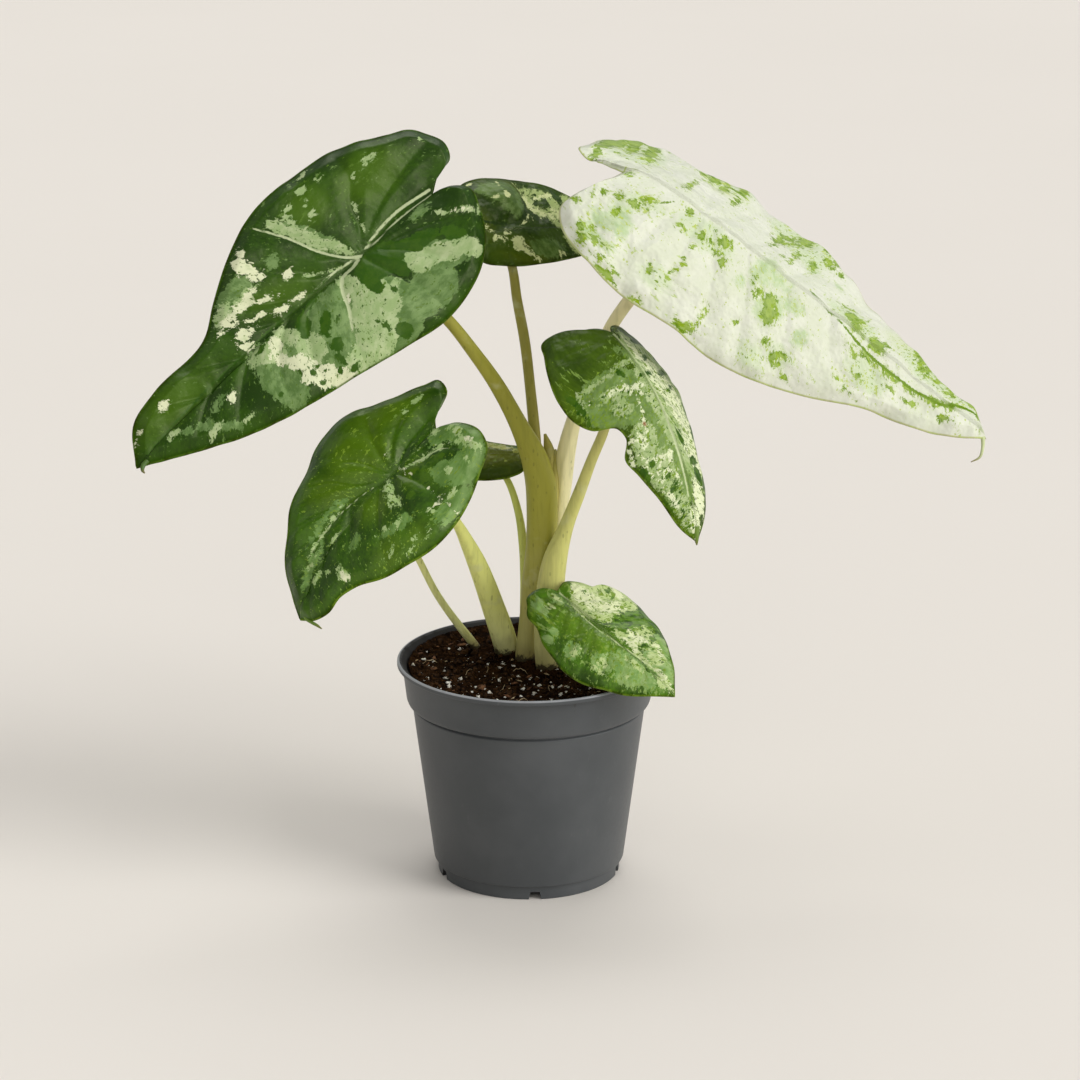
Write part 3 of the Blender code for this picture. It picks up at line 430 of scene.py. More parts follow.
            (56, 0)],
        right=[(-7, 1), (-10, 6), (-14, 12), (-14, 16), (-10, 18), (-3, 21), (7, 23), (15, 22),
            (19.5, 19), (22, 13), (25, 12), (31, 14), (36, 12), (44, 8), (52, 4), (56, 0)],
        pale_and_highlight_lines=[(0.3, [(-4, 0), (6, 0.4), (16, 0.2), (28, -0.4), (44, -0.8)]),
            (0.18, [(6, 0), (12, 5), (17, 12)]), (0.18, [(14, 0), (21, 4), (28, 9)]),
            (0.18, [(22, 0), (30, 4), (36, 8)])],
        seed=4.0, ragged=0.9, specks=2.0, speck_level=0.6, depth=0.7, wave=0.6, margin_shade=0.2,
        dark=(0.028, 0.062, 0.002), bright=(0.06, 0.115, 0.006), sage_color=(0.12, 0.2, 0.045),
        sage_light=(0.17, 0.265, 0.075), pale_color=(0.28, 0.38, 0.14),
        cream_color=(0.68, 0.72, 0.46),
        tip=[(52, 0.3, 1.0), (54.4, 0, 0.7), (56, 0, 0.4), (56.8, 0, 0.12)],
        sage=[(14, -10, 8.5, 10), (25, -4, 8, 4.5), (33, -5, 7, 6), (40, -3, 8, 4),
            (3, -1, 3, 1.5, 20)],
        pale=[(5.6, -4, 0.7, 2), (7, -9, 0.7, 4, 10), (8, -15, 0.9, 3, 15),
            (10.5, -18.3, 2.5, 0.7, -15), (13, -10, 2, 5), (28, -8, 6, 3, -20), (36, -6, 6, 3.5),
            (20, 8, 24, 11), (0, 4, 6, 4), (46, -3, 8, 2.4, 20), (17.5, -10, 2.4, 3)],
        cream=[(13, -4, 0.9, 1.5), (12, -7, 1.3, 1.6, -20), (12, -10.5, 0.7, 1.6),
            (15.5, -3.5, 0.5, 1.4, -20), (12, -16.3, 0.7, 0.6), (27, -8.5, 2.2, 1.2),
            (26.5, -11, 1.1, 0.7), (23, -6.2, 2.4, 0.35, -10), (33, -6, 0.9, 1.5),
            (37, -5, 1.6, 0.9, -40), (34, -3, 1.5, 0.4), (39, -7, 1.8, 0.35),
            (36.5, -9.3, 1.5, 0.4, 20), (32, -9.5, 1.3, 0.7, 40), (38.5, -2.5, 1.2, 0.5),
            (44, -5, 2.2, 0.6, 20), (31, -12.7, 2.6, 0.4), (14, 4, 7, 2.4, 12),
            (24, 6, 6, 2.2, 30), (3, 3, 5, 1.8), (45, 3, 5, 2.2), (33, 4, 5, 1.6, 10),
            (51, 0, 4, 1.5), (18, 10, 4, 1, 40), (15, 8, 14, 4.5, 10), (32, 7, 8, 4, -10)],
        green=[(8, -5.5, 1.6, 0.7, 15), (11, -19.6, 6, 1, 8), (36, -10.5, 2.4, 1, 20),
            (31.5, -12.3, 0.6, 0.6), (34, -8, 1, 0.9), (38, -5, 0.7, 0.9),
            (46, -6.5, 2.4, 0.5, 25), (41, -4, 1.6, 0.7, -30), (28.5, 2.3, 2.5, 1.1, 5),
            (35.5, 4.8, 1.5, 2.1), (39.5, 5, 2.8, 1.6, 20), (42, 8, 2.2, 2),
            (33, 10.5, 3, 1.4, -20), (27, 11.5, 3, 1.3, -40), (20, 14, 3, 1.2),
            (1, 16, 4, 1.8, -50), (8, 11, 0.9, 5, 20), (10, 2, 0.6, 3, 10), (-4, 9, 1, 3, 30),
            (4, 6, 0.6, 3, 40), (14, 9, 0.6, 3, 30)],
        glow=[(10, -20, 6, 2), (50, -3, 5, 2, 20), (18, -17, 2, 3)],
        brown=[(23.3, -6.4, 0.7, 0.5)]),
    "leaf_5_blade": Blade(
        junction=(-34.5, -20.0, 115.5), heading=214, pitch=-35, roll=-26, sinus=16, droop=38,
        back=-8, bow=3, twist=-4, fold=(6, 16), curl=(30, 24), curl_width=24,
        left=[(-20, 1), (-22, 4), (-23, 9), (-21, 14), (-14, 17.5), (-8, 20), (0, 22), (8, 22),
            (17, 19), (23, 16), (29, 11), (33, 9), (38, 8), (42, 5), (45, 0)],
        right=[(-19, 3), (-23, 4), (-26, 5), (-27, 9), (-24, 11), (-16, 16), (-10, 19), (-3, 22),
            (6, 22), (14, 19), (21, 17), (28, 13), (36, 9), (41, 4), (45, 0)],
        pale_and_highlight_lines=[(0.14, [(6, -1.5), (15, -3.3), (21, -4), (25, -4.3), (29.5, -4.2)]),
            (0.16, [(-4, 1.2), (-8, 3.5), (-12, 5), (-15, 8)])],
        seed=5.0, ragged=0.85, specks=1.2, depth=2.2, wave=0.8, margin_shade=0.2, speck_level=0.62,
        shine=0.45, pucker=0.2, dark=(0.011, 0.046, 0.0004), bright=(0.04, 0.114, 0.0008),
        glow_color=(0.075, 0.15, 0.0008), sage_color=(0.085, 0.18, 0.03),
        sage_light=(0.15, 0.27, 0.066), pale_color=(0.3, 0.44, 0.15),
        midrib=[(-16, -3.5), (-8, -3), (0, 0), (10, -3), (20, -4), (30, -3.5), (38, -1), (45, 0)],
        veins=[[(0, -0.5), (-6, -6), (-14, -9), (-21, -9)],
            [(0, -1), (-2, -8), (-6, -15), (-9, -19)], [(0.5, -1), (3, -8), (7, -14), (9, -18)],
            [(3, -1.5), (8, -5), (12, -11), (18, -16)], [(10, -3), (16, -6), (23, -10), (29, -12)],
            [(22, -4), (28, -7), (34, -9)], [(32, -3), (37, -5)],
            [(0, 0), (-5, 2), (-12, 5), (-17, 10), (-20, 14)],
            [(-0.5, 0.5), (-2, 6), (-2.6, 12), (-2.3, 20)],
            [(1, 1), (4, 5), (6, 11), (7, 16), (10, 20)], [(4, -0.5), (10, 4), (15, 9), (20, 16)],
            [(14, -2.5), (20, 3), (26, 8), (29, 11)], [(24, -3.5), (31, 1), (37, 5), (39, 8)],
            [(33, -2.5), (38, 1), (42, 4)]],
        tip=[(42.4, 0.8, 0.75), (43.4, 2, 0.55), (43.4, 3.8, 0.45), (43.2, 5.6, 0.4),
            (43.2, 7.2, 0.16)],
        sage=[(-13, 14, 6, 4), (-19, 9, 3.4, 6), (-8, 11, 3.4, 3.4), (-3, 18.3, 7, 2.4),
            (8, 12, 2.4, 1.6), (13, 10.5, 2.4, 1, -20), (20, 5, 2, 1.2), (16, -5.5, 4, 1, -10),
            (22, -6, 4, 0.8), (-17, 3, 5, 2.6, -10), (31, -2.4, 5, 1.2, 5)],
        pale=[(-18.5, 11, 1.4, 2.6, 10), (-16.5, 7.5, 2.2, 0.7, -30), (-19, 6, 1, 1.2),
            (-12.5, 4.8, 2.4, 0.35, -35), (-8.5, 3.5, 2.4, 0.3, -20), (-20, 3.5, 1.2, 0.5),
            (-4.5, 16.5, 2.4, 0.7), (-9, 11.5, 1, 1), (4.8, 4, 3.6, 1.2, 55), (5.4, 6.4, 0.9, 1.6),
            (1.5, 16, 1, 0.9), (28, 7.3, 1.2, 1.6), (27.5, 5.3, 0.6, 0.8), (22.5, -0.8, 2, 0.6),
            (30, 3, 0.8, 0.7), (32.5, 1, 1, 0.5), (-9.5, 1.2, 0.8, 0.5), (-15.5, 0.8, 1, 1.2),
            (-14.5, 13, 0.8, 0.7), (-18.5, -9.3, 1.6, 0.6), (-15, -9.5, 0.8, 0.7),
            (9.3, 17, 1, 0.5), (16, 14.2, 1.5, 0.5), (13.5, 18.2, 0.8, 0.3), (6.5, 18.5, 1, 0.4),
            (10, 11, 1.2, 0.6), (13, 9.5, 1, 0.4, -20), (30, -2.8, 2, 0.4, 5),
            (24, -4.2, 3, 0.25)],
        cream=[(-1, 15, 1.2, 0.4), (28, 7.8, 0.4, 0.7), (-2.5, 11, 0.2, 3.5),
            (-19, 9.5, 0.6, 1.4, 20)],
        green=[(-9, 6.5, 4.5, 1.4, -10), (-3, 7.5, 2.4, 2.8), (2, 9, 1.5, 1.5)],
        glow=[(2, -10, 9, 7), (-10, -13, 10, 4, -20), (9, 17, 3, 2), (17, 14, 4, 2.4),
            (13, -9, 7, 4, -40), (-3, 5, 3, 3), (10, 3, 4, 3)]),
    "leaf_6_blade": Blade(
        junction=(-8.5, 12.0, 112.0), heading=172, pitch=-6, roll=-35, sinus=6.8, curl_width=10,
        left=plain_half(26, 8, 8, 6.8),
        right=[(-7, 0.3), (-8, 1.2), (-7, 2.2), (-3, 3.4), (2, 5), (8, 7.6), (13, 8.8), (19, 6.2),
            (23, 3), (26, 0)],
        seed=6.0, ragged=0.8, specks=1.0, depth=0.3, wave=0.3, margin_shade=0.3, shine=0.4,
        dark=(0.032, 0.06, 0.001), bright=(0.075, 0.11, 0.003), glow_color=(0.2, 0.22, 0.01),
        sage_color=(0.3, 0.33, 0.04), sage_light=(0.48, 0.5, 0.12), pale_color=(0.5, 0.53, 0.2),
        sage=[(3, -5, 11, 2, -20)],
        pale=[(-1, -3.6, 2.4, 0.6, -20), (6, -6, 2.2, 0.7, -20), (11, -7.6, 2, 0.5, -20)],
        green=[(2, -5.2, 1.6, 0.4, -20), (8, -7.4, 1.6, 0.5, -20), (-4, -2.4, 1.2, 0.3, -20)],
        # The first glow patch, along the midrib, is a painted highlight.
        glow=[(4, 0.5, 9, 1.4), (9, -4, 7, 1.2, -15)]),
    "leaf_7_blade": Blade(
        junction=(11.0, -10.0, 78.0), heading=-40, pitch=-25, roll=16, sinus=5, droop=9, back=14,
        fold=(-4, -6), curl=(12, 21), curl_width=18,
        left=[(-6, 4), (-4, 7), (0, 10.5), (1, 14), (4, 16), (9, 16), (15, 15), (23, 13), (28, 10),
            (34, 5), (39, 0)],
        right=[(-8, 1), (-10, 3), (-10, 6), (-7, 9), (-5, 11), (0, 12), (4, 14), (9, 15), (14, 16),
            (20, 15), (26, 12), (31, 9), (35, 5), (39, 0)],
        pale_and_highlight_lines=[(0.2, [(-4, 0), (0, -0.3), (5, -1), (15, -0.8), (20, -0.3), (28, 0.8), (38, 0.5)])],
        seed=7.0, ragged=0.8, specks=1.8, depth=1.7, wave=0.8, margin_shade=0.1, shine=0.45,
        bright=(0.075, 0.19, 0.006), glow_color=(0.12, 0.24, 0.008), island=(0.09, 0.2, 0.008),
        pale_color=(0.42, 0.52, 0.2), sage_color=(0.16, 0.29, 0.07), sage_light=(0.27, 0.4, 0.13),
        cream_color=(0.66, 0.7, 0.42), speck_level=0.6,
        midrib=[(-5, 0.2), (0, -0.8), (5, -1), (15, -0.8), (20, 0), (39, 0)],
        sage=[(25, 9, 4, 2.5, -30), (29, 3.5, 5, 3.4), (33, 3, 3, 3, -30), (-3, -2.5, 2.2, 1.3),
            (25, -2.5, 5, 2.4), (20, -8, 3.4, 2.2, -10), (23, -5, 4, 2.4), (12, -11, 2.6, 2, -30),
            (4.5, -12.5, 2, 1.2), (4, -10.3, 2, 1), (31, -3, 4, 2), (-4, -7, 4, 2, -20),
            (28, -6, 4, 2.4, 30)],
        pale=[(4, 8, 9, 9, 20), (20, 5, 4.4, 3), (19, 8.5, 2.5, 0.9), (26, 6.5, 3.5, 1.1, -15),
            (28, 4, 2.5, 1.8), (17, 2, 3, 1, 10), (24, 1.3, 5, 0.6), (33, 1.2, 3.4, 0.7),
            (20, -7.6, 1.6, 0.9), (12.5, -10.5, 1.1, 1.5, 20), (-3, -2.2, 1, 0.7),
            (0.3, -2.8, 0.5, 0.4), (-2, -5.8, 1, 0.7), (27.3, -6, 0.5, 0.5), (21, -10, 1.4, 0.4),
            (26, -2, 2.4, 1), (35, 0, 3, 1)],
        cream=[(8, 7, 2, 4, -10), (2, 4, 5, 2.6), (5, 13, 3, 1.6), (20, 5, 3, 1.6),
            (26, 6.6, 2, 0.7, -15), (22, 1.6, 3, 0.6), (34, 1.2, 2.4, 0.5)],
        green=[(14.4, 8.3, 3, 4), (17.5, 13, 4, 1.4), (12.4, 4, 1, 2.6, 30), (22.5, 8, 1, 0.9),
            (23, 4.5, 0.8, 1), (3, 11, 0.6, 1.2, 30), (0, 5.4, 0.9, 0.5, 30),
            (6, 9, 0.5, 0.9, 30)],
        glow=[(15, -4, 6, 3), (6, -5, 6, 3), (-5, -9, 3, 2), (15, 8, 4, 4)]),
    "leaf_8_blade": Blade(
        junction=(-36.0, 8.0, 100.5), heading=200, pitch=-20, roll=-20, sinus=3, curl_width=10,
        left=plain_half(22, 7, 8, 3), right=plain_half(22, 7, 8, 3), seed=8.0, ragged=0.6,
        depth=0.2, wave=0.2, sage=[(4, -3, 5, 1.5, 20), (12, 2, 4, 1.2)],
        cream=[(2, 3, 2, 0.8, 20)]),
}

# Petioles: centre line points (x, y, z) with the radius there, from inside the soil upwards.
PETIOLES = {
    "leaf_1_petiole": [
        (-2, 7, 46, 2.9), (-1.2, 7, 54, 2.9), (0.6, 7, 67.5, 3.2), (2, 6.5, 79, 3.7),
        (3.3, 5.5, 89, 4.0), (3.5, 4.5, 99, 4.0), (3, 3.5, 106.5, 3.9), (1.3, 2.7, 113.5, 3.4),
        (-2.5, 1, 123, 2.4), (-7.8, -1.5, 134, 2.0), (-14, -4.5, 144, 1.7),
        (-20.8, -7, 153.5, 1.5), (-30, -9.5, 162.5, 1.5)],
    "leaf_2_petiole": [
        (2.5, 6.5, 106.5, 1.3), (2, 7, 113.5, 1.5), (1.5, 7.5, 120, 1.5), (0.5, 10, 130, 1.4),
        (-1, 13, 142.5, 1.4), (-3, 16, 153, 1.3), (-4.5, 18.5, 162, 1.2)],
    "leaf_3_petiole": [
        (3, 13.5, 46, 2.2), (3.5, 13, 54, 2.2), (5, 12.5, 65.5, 2.1), (6, 11.5, 76, 2.1),
        (7, 11, 85, 2.1), (8, 10, 96, 2.3), (9, 8.5, 106, 2.5), (10, 7.5, 114.5, 2.4),
        (11.5, 7, 121.5, 2.0), (16, 5, 135, 1.8), (22, 3, 150, 1.7), (27.5, 1.5, 158.5, 1.7),
        (33.5, 0, 167.5, 1.6)],
    "leaf_4_petiole": [
        (5, 0.5, 46, 3.2), (5.2, 0.5, 54, 3.2), (5, 0, 64, 3.6), (5.4, 0, 75.5, 3.7),
        (7, -1, 87, 3.2), (9.8, -1.8, 96, 2.0), (13.6, -4, 107, 1.6), (16.4, -6, 115.5, 1.4),
        (19.5, -8, 124, 1.3), (21.5, -11, 133, 1.2)],
    "leaf_5_petiole": [
        (-5, 14.5, 46, 2.7), (-5.6, 13.5, 54, 3.1), (-6.5, 12, 59.5, 3.2), (-9.8, 9, 71, 2.9),
        (-13.5, 5, 83, 2.4), (-16, 2, 90, 1.9), (-18.6, -1, 96.5, 1.4), (-23, -5, 103.5, 1.3)],
    "leaf_6_petiole": [
        (-0.4, 15.5, 46, 1.4), (-0.5, 14.5, 54.5, 1.5), (-1, 13.5, 65.5, 1.4), (-1, 12.5, 77, 1.3),
        (-1.5, 12, 87, 1.2), (-3, 12, 97, 1.0), (-5, 12, 103.5, 0.9)],
    "leaf_7_petiole": [
        (10.5, 1.5, 46, 1.5), (10.3, 1.2, 54, 1.4), (10.4, 0, 62, 1.2), (10.6, -3, 69, 1.1)],
    "leaf_8_petiole": [
        (-9, 17.5, 46, 1.2), (-12.5, 16.5, 54, 1.2), (-14.5, 16.2, 57, 1.2), (-19, 15, 63.5, 1.1),
        (-24.5, 13, 72.5, 1.0), (-29.5, 11, 83.5, 0.9), (-33, 9.5, 91, 0.8)],
}
# The small pointed sheath between the second and third petioles.
SHEATH_LOOK = [(4.4, 8.6, 99, 1.4), (5.2, 8.2, 105, 1.8), (5.6, 8.1, 110, 1.9),
               (5.3, 8.4, 114.5, 1.4), (4.3, 9.0, 118.5, 0.35)]
# The torn edge of the third petiole's sheath, lower down.
SHEATH_FLAP = [(6.0, 7.0, 98, 1.5), (6.6, 7.0, 104, 1.6), (7.0, 7.3, 110, 1.2),
               (7.1, 8.0, 114.6, 0.25)]

# Colours of each petiole: at the base, in the middle and under the blade.
STEM_COLORS = {
    "leaf_1_petiole": ((0.52, 0.48, 0.17), (0.35, 0.33, 0.04), (0.34, 0.31, 0.05)),
    "leaf_2_petiole": ((0.32, 0.28, 0.05), (0.3, 0.27, 0.05), (0.26, 0.23, 0.04)),
    "leaf_3_petiole": ((0.78, 0.74, 0.36), (0.88, 0.81, 0.46), (0.84, 0.74, 0.42)),
    "leaf_4_petiole": ((0.7, 0.66, 0.26), (0.6, 0.58, 0.18), (0.54, 0.49, 0.17)),
    "leaf_5_petiole": ((0.9, 0.9, 0.42), (0.82, 0.83, 0.26), (0.7, 0.71, 0.17)),
    "leaf_6_petiole": ((0.62, 0.64, 0.22), (0.62, 0.66, 0.18), (0.58, 0.63, 0.14)),
    "leaf_7_petiole": ((0.46, 0.46, 0.15), (0.44, 0.48, 0.12), (0.4, 0.48, 0.1)),
    "leaf_8_petiole": ((0.55, 0.48, 0.2), (0.75, 0.75, 0.3), (0.68, 0.7, 0.22)),
    "young_sheath": ((0.56, 0.5, 0.18), (0.5, 0.44, 0.12), (0.4, 0.35, 0.08)),
}
# Where each sheath's free edge runs: start and end share, turn round the stem, sweep and lift.
SHEATH_EDGES = {
    "leaf_1_petiole": (0.1, 0.58, 250, 50, 0.5),
    "leaf_3_petiole": (0.1, 0.6, 230, 40, 0.3),
    "leaf_4_petiole": (0.05, 0.5, 200, 30, 0.5),
    "leaf_5_petiole": (0.1, 0.62, 300, 60, 0.45),
}


class Nodes:
    """Short calls that add shader nodes to one new material and hand back their outputs."""

    def __init__(self, name):
        self.material = bpy.data.materials.new(name)
        self.material.use_nodes = True
        self.tree = self.material.node_tree
        self.shader = self.tree.nodes["Principled BSDF"]

    def add(self, kind, **settings):
        node = self.tree.nodes.new(kind)
        for key, value in settings.items():
            setattr(node, key, value)
        return node

    def plug(self, socket, value):
        if isinstance(value, bpy.types.NodeSocket):
            self.tree.links.new(value, socket)
        elif isinstance(value, tuple) and len(value) == 3 and socket.type == "RGBA":
            socket.default_value = (*value, 1.0)
        else:
            socket.default_value = value

    def filled(self, node, *values):
        """The node with its first inputs set to the values."""
        for socket, value in zip(node.inputs, values):
            self.plug(socket, value)
        return node

    def skin(self, color, roughness, relief, specular=None):
        """Set the surface and hand back the finished material."""
        self.plug(self.shader.inputs["Base Color"], color)
        self.plug(self.shader.inputs["Roughness"], roughness)
        self.plug(self.shader.inputs["Normal"], relief)
        if specular is not None:
            self.plug(self.shader.inputs["Specular IOR Level"], specular)
        return self.material

    def place(self, kind="Object"):
        return self.add("ShaderNodeTexCoord").outputs[kind]

    def math(self, operation, a, b=0.0):
        return self.filled(self.add("ShaderNodeMath", operation=operation), a, b).outputs[0]

    def product(self, a, b):
        return self.math("MULTIPLY", a, b)

    def centred(self, value):
        """Noise moved so that it swings about zero."""
        return self.math("SUBTRACT", value, 0.5)

    def total(self, first, *terms):
        """first + value * factor for each (value, factor)."""
        for value, factor in terms:
            node = self.add("ShaderNodeMath", operation="MULTIPLY_ADD")
            first = self.filled(node, value, factor, first).outputs[0]
        return first

    def mix(self, factor, a, b):
        node = self.add("ShaderNodeMix", data_type="RGBA")
        self.plug(node.inputs["Factor"], factor)
        self.plug(node.inputs[6], a)
        self.plug(node.inputs[7], b)
        return node.outputs[2]

    def ramp(self, value, low, high, to_low=0.0, to_high=1.0):
        node = self.add("ShaderNodeMapRange", interpolation_type="SMOOTHSTEP")
        return self.filled(node, value, low, high, to_low, to_high).outputs[0]

    def attribute(self, name):
        return self.add("ShaderNodeAttribute", attribute_name=name).outputs["Vector"]

    def kept(self, name):
        """The three values that a mesh keeps under the name."""
        return self.split(self.attribute(name))

    def split(self, vector):
        return self.filled(self.add("ShaderNodeSeparateXYZ"), vector).outputs

    def scaled(self, vector, scale):
        node = self.add("ShaderNodeMapping")
        self.plug(node.inputs["Vector"], vector)
        self.plug(node.inputs["Scale"], scale)
        return node.outputs[0]

    def noise(self, vector, scale, detail=3.0, roughness=0.55):
        node = self.add("ShaderNodeTexNoise")
        for key, value in (("Vector", vector), ("Scale", scale), ("Detail", detail),
                           ("Roughness", roughness)):
            self.plug(node.inputs[key], value)
        return node.outputs

    def cloud(self, vector, scale, detail=3.0, roughness=0.55):
        return self.noise(vector, scale, detail, roughness)["Fac"]

    def clouds(self, vector, scale, detail, roughness):
        """Three clouds of the same size that don't follow each other."""
        return self.split(self.noise(vector, scale, detail, roughness)["Color"])

    def cells(self, vector, scale, feature="F1"):
        node = self.add("ShaderNodeTexVoronoi", feature=feature)
        self.plug(node.inputs["Vector"], vector)
        self.plug(node.inputs["Scale"], scale)
        return node.outputs

    def warped(self, vector, scale, amount):
        """The vector pushed about by noise, so that cells get uneven edges."""
        away = self.filled(self.add("ShaderNodeVectorMath", operation="SUBTRACT"),
                           self.noise(vector, scale, 2.0)["Color"], (0.5, 0.5, 0.5))
        node = self.add("ShaderNodeVectorMath", operation="MULTIPLY_ADD")
        return self.filled(node, away.outputs[0], (amount, amount, amount), vector).outputs[0]

    def bump(self, height, distance, strength, normal=None):
        node = self.add("ShaderNodeBump")
        self.plug(node.inputs["Height"], height)
        self.plug(node.inputs["Distance"], distance)
        self.plug(node.inputs["Strength"], strength)
        if normal is not None:
            self.plug(node.inputs["Normal"], normal)
        return node.outputs[0]


def blend(a, b, share):
    """A colour part of the way from a to b."""
    return tuple((1 - share) * x + share * y for x, y in zip(a, b))


def link(obj):
    bpy.context.collection.objects.link(obj)
    return obj


def mesh_object(name, points, faces, material, attributes=None):
    """A mesh object from points in the tables' millimetres, placed where the frame's pot stands."""
    mesh = bpy.data.meshes.new(name)
    places = np.asarray(points, float) * MM + ORIGIN
    mesh.from_pydata(places.tolist(), [], faces)
    mesh.materials.append(material)
    for key, values in (attributes or {}).items():
        layer = mesh.attributes.new(key, "FLOAT_VECTOR", "POINT")
        layer.data.foreach_set("vector", np.asarray(values, np.float32).ravel())
    mesh.shade_smooth()
    return link(bpy.data.objects.new(name, mesh))


def outward(obj):
    """Turn every face outwards."""
    work = bmesh.new()
    work.from_mesh(obj.data)
    bmesh.ops.recalc_face_normals(work, faces=work.faces)
    work.to_mesh(obj.data)
    work.free()
    return obj


def stand_for(obj, node):
    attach(obj, "root")
    if node:
        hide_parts(node)


def circle(count):
    """Angles at even steps round a circle."""
    return np.linspace(0, 2 * math.pi, count, endpoint=False)


def tube_faces(start, rings, sides):
    """The faces between rings of points."""
    faces = []
    for ring in range(rings - 1):
        for k in range(sides):
            a, b = start + ring * sides + k, start + ring * sides + (k + 1) % sides
            faces.append((a, b, b + sides, a + sides))
    return faces


def capped_tube_faces(start, rings, sides):
    return (tube_faces(start, rings, sides) + [tuple(start + k for k in reversed(range(sides)))]
            + [tuple(start + (rings - 1) * sides + k for k in range(sides))])


def smooth_curve(points, fractions):
    """Points at the given fractions of the length of a smooth curve through the given points."""
    points = np.array(points, float)
    chord = np.linalg.norm(np.diff(points, axis=0), axis=1)
    slope = np.diff(points, axis=0) / chord[:, None]
    before, after = chord[:-1, None], chord[1:, None]
    middle = (slope[:-1] * after + slope[1:] * before) / (before + after)
    tangent = np.vstack([slope[:1], middle, slope[-1:]])
    t = np.linspace(0, 1, CURVE_SAMPLES, endpoint=False)[:, None]
    pieces = []
    for a, b, ta, tb, size in zip(points, points[1:], tangent, tangent[1:], chord):
        pieces.append((2 * t ** 3 - 3 * t ** 2 + 1) * a + (t ** 3 - 2 * t ** 2 + t) * size * ta
                      + (3 * t ** 2 - 2 * t ** 3) * b + (t ** 3 - t ** 2) * size * tb)
    dense = np.vstack(pieces + [points[-1:]])
    run = run_length(dense)
    where = np.asarray(fractions) * run[-1]
    return np.column_stack([np.interp(where, run, column) for column in dense.T])


def run_length(points):
    """The length of a polyline up to each of its points."""
    return np.concatenate([[0], np.cumsum(np.linalg.norm(np.diff(points, axis=0), axis=1))])


def arc(start, bend, end, t):
    """A curve from start to end that is drawn towards bend."""
    return (1 - t) ** 2 * start + 2 * t * (1 - t) * bend + t ** 2 * end


def turn_about(vector, axis, angle):
    angle = math.radians(angle)
    return (vector * math.cos(angle) + np.cross(axis, vector) * math.sin(angle)
            + axis * np.dot(axis, vector) * (1 - math.cos(angle)))


def blade_axes(blade):
    """Unit vectors along the midrib, to the left of it, and out of the upper side."""
    heading, pitch = math.radians(blade.heading), math.radians(blade.pitch)
    along = np.array([math.cos(pitch) * math.cos(heading), math.cos(pitch) * math.sin(heading),
                      math.sin(pitch)])
    up = np.array([0.0, 0.0, 1.0]) - along * along[2]
    up = turn_about(up / np.linalg.norm(up), along, blade.roll)
    return along, np.cross(up, along), up


def bend_blade(blade, u, v):
    """Carry flat blade coordinates to their place in the plant, as the CAD source does."""
    along, left, up = blade_axes(blade)
    table = np.linspace(-BEND_BEHIND * blade.lobe, BEND_AHEAD * blade.length, BEND_SAMPLES)
    forward = np.clip(table / blade.length, 0, None) ** blade.droop_power
    angle = np.radians(np.where(table > 0, blade.droop * forward, blade.back * table / blade.lobe))
    step = table[1] - table[0]
    run_x = np.cumsum(np.cos(angle)) * step
    run_z = -np.cumsum(np.sin(angle)) * step
    x = np.interp(u, table, run_x) - np.interp(0, table, run_x)
    z = np.interp(u, table, run_z) - np.interp(0, table, run_z)
    slope = np.interp(u, table, angle)[:, None]
    normal = np.cos(slope) * up + np.sin(slope) * along
    turn = np.radians(blade.twist * np.clip(u / blade.length, -1, 1.2))[:, None]
    side = np.cos(turn) * left + np.sin(turn) * normal
    normal = np.cos(turn) * normal - np.sin(turn) * left
    start = np.radians(np.where(v >= 0, *blade.fold))
    rate = np.radians(np.where(v >= 0, *blade.curl)) / blade.curl_width
    width = np.abs(v)
    out = (np.sin(start) - np.sin(start - rate * width)) / rate * np.sign(v)
    rise = (np.cos(start - rate * width) - np.cos(start)) / rate
    sweep = blade.bow * np.clip(u / blade.length, 0, 1.3) ** 2
    return (np.array(blade.junction) + x[:, None] * along + z[:, None] * up
            + sweep[:, None] * left + out[:, None] * side + rise[:, None] * normal)


class Half:
    """One half of a blade's outline, read by the place on the midrib where a vein starts."""

    def __init__(self, blade, points, side):
        self.side = side
        self.t = np.linspace(0, 1, MARGIN_SAMPLES)
        self.outline = smooth_curve([(-blade.sinus, 0.0)] + points, self.t)
        slanted = self.outline[:, 0] - VEIN_SLANT * self.outline[:, 1]
        place = np.clip(slanted, 0, blade.length)
        turn_over = self.t[np.argmax(place > 0)]
        lobe_share = np.clip(self.t / turn_over, 0, 1) ** LOBE_SPACING
        rising = np.where(self.t < turn_over, -blade.sinus * (1 - lobe_share), place)
        self.place = np.maximum.accumulate(rising + self.t * 1e-4)

    def margin(self, rows):
        """Points (u, v) on the margin at the ends of the veins that start at the given rows."""
        where = np.interp(rows, self.place, self.t)
        u = np.interp(where, self.t, self.outline[:, 0])
        return np.column_stack([u, self.side * np.interp(where, self.t, self.outline[:, 1])])


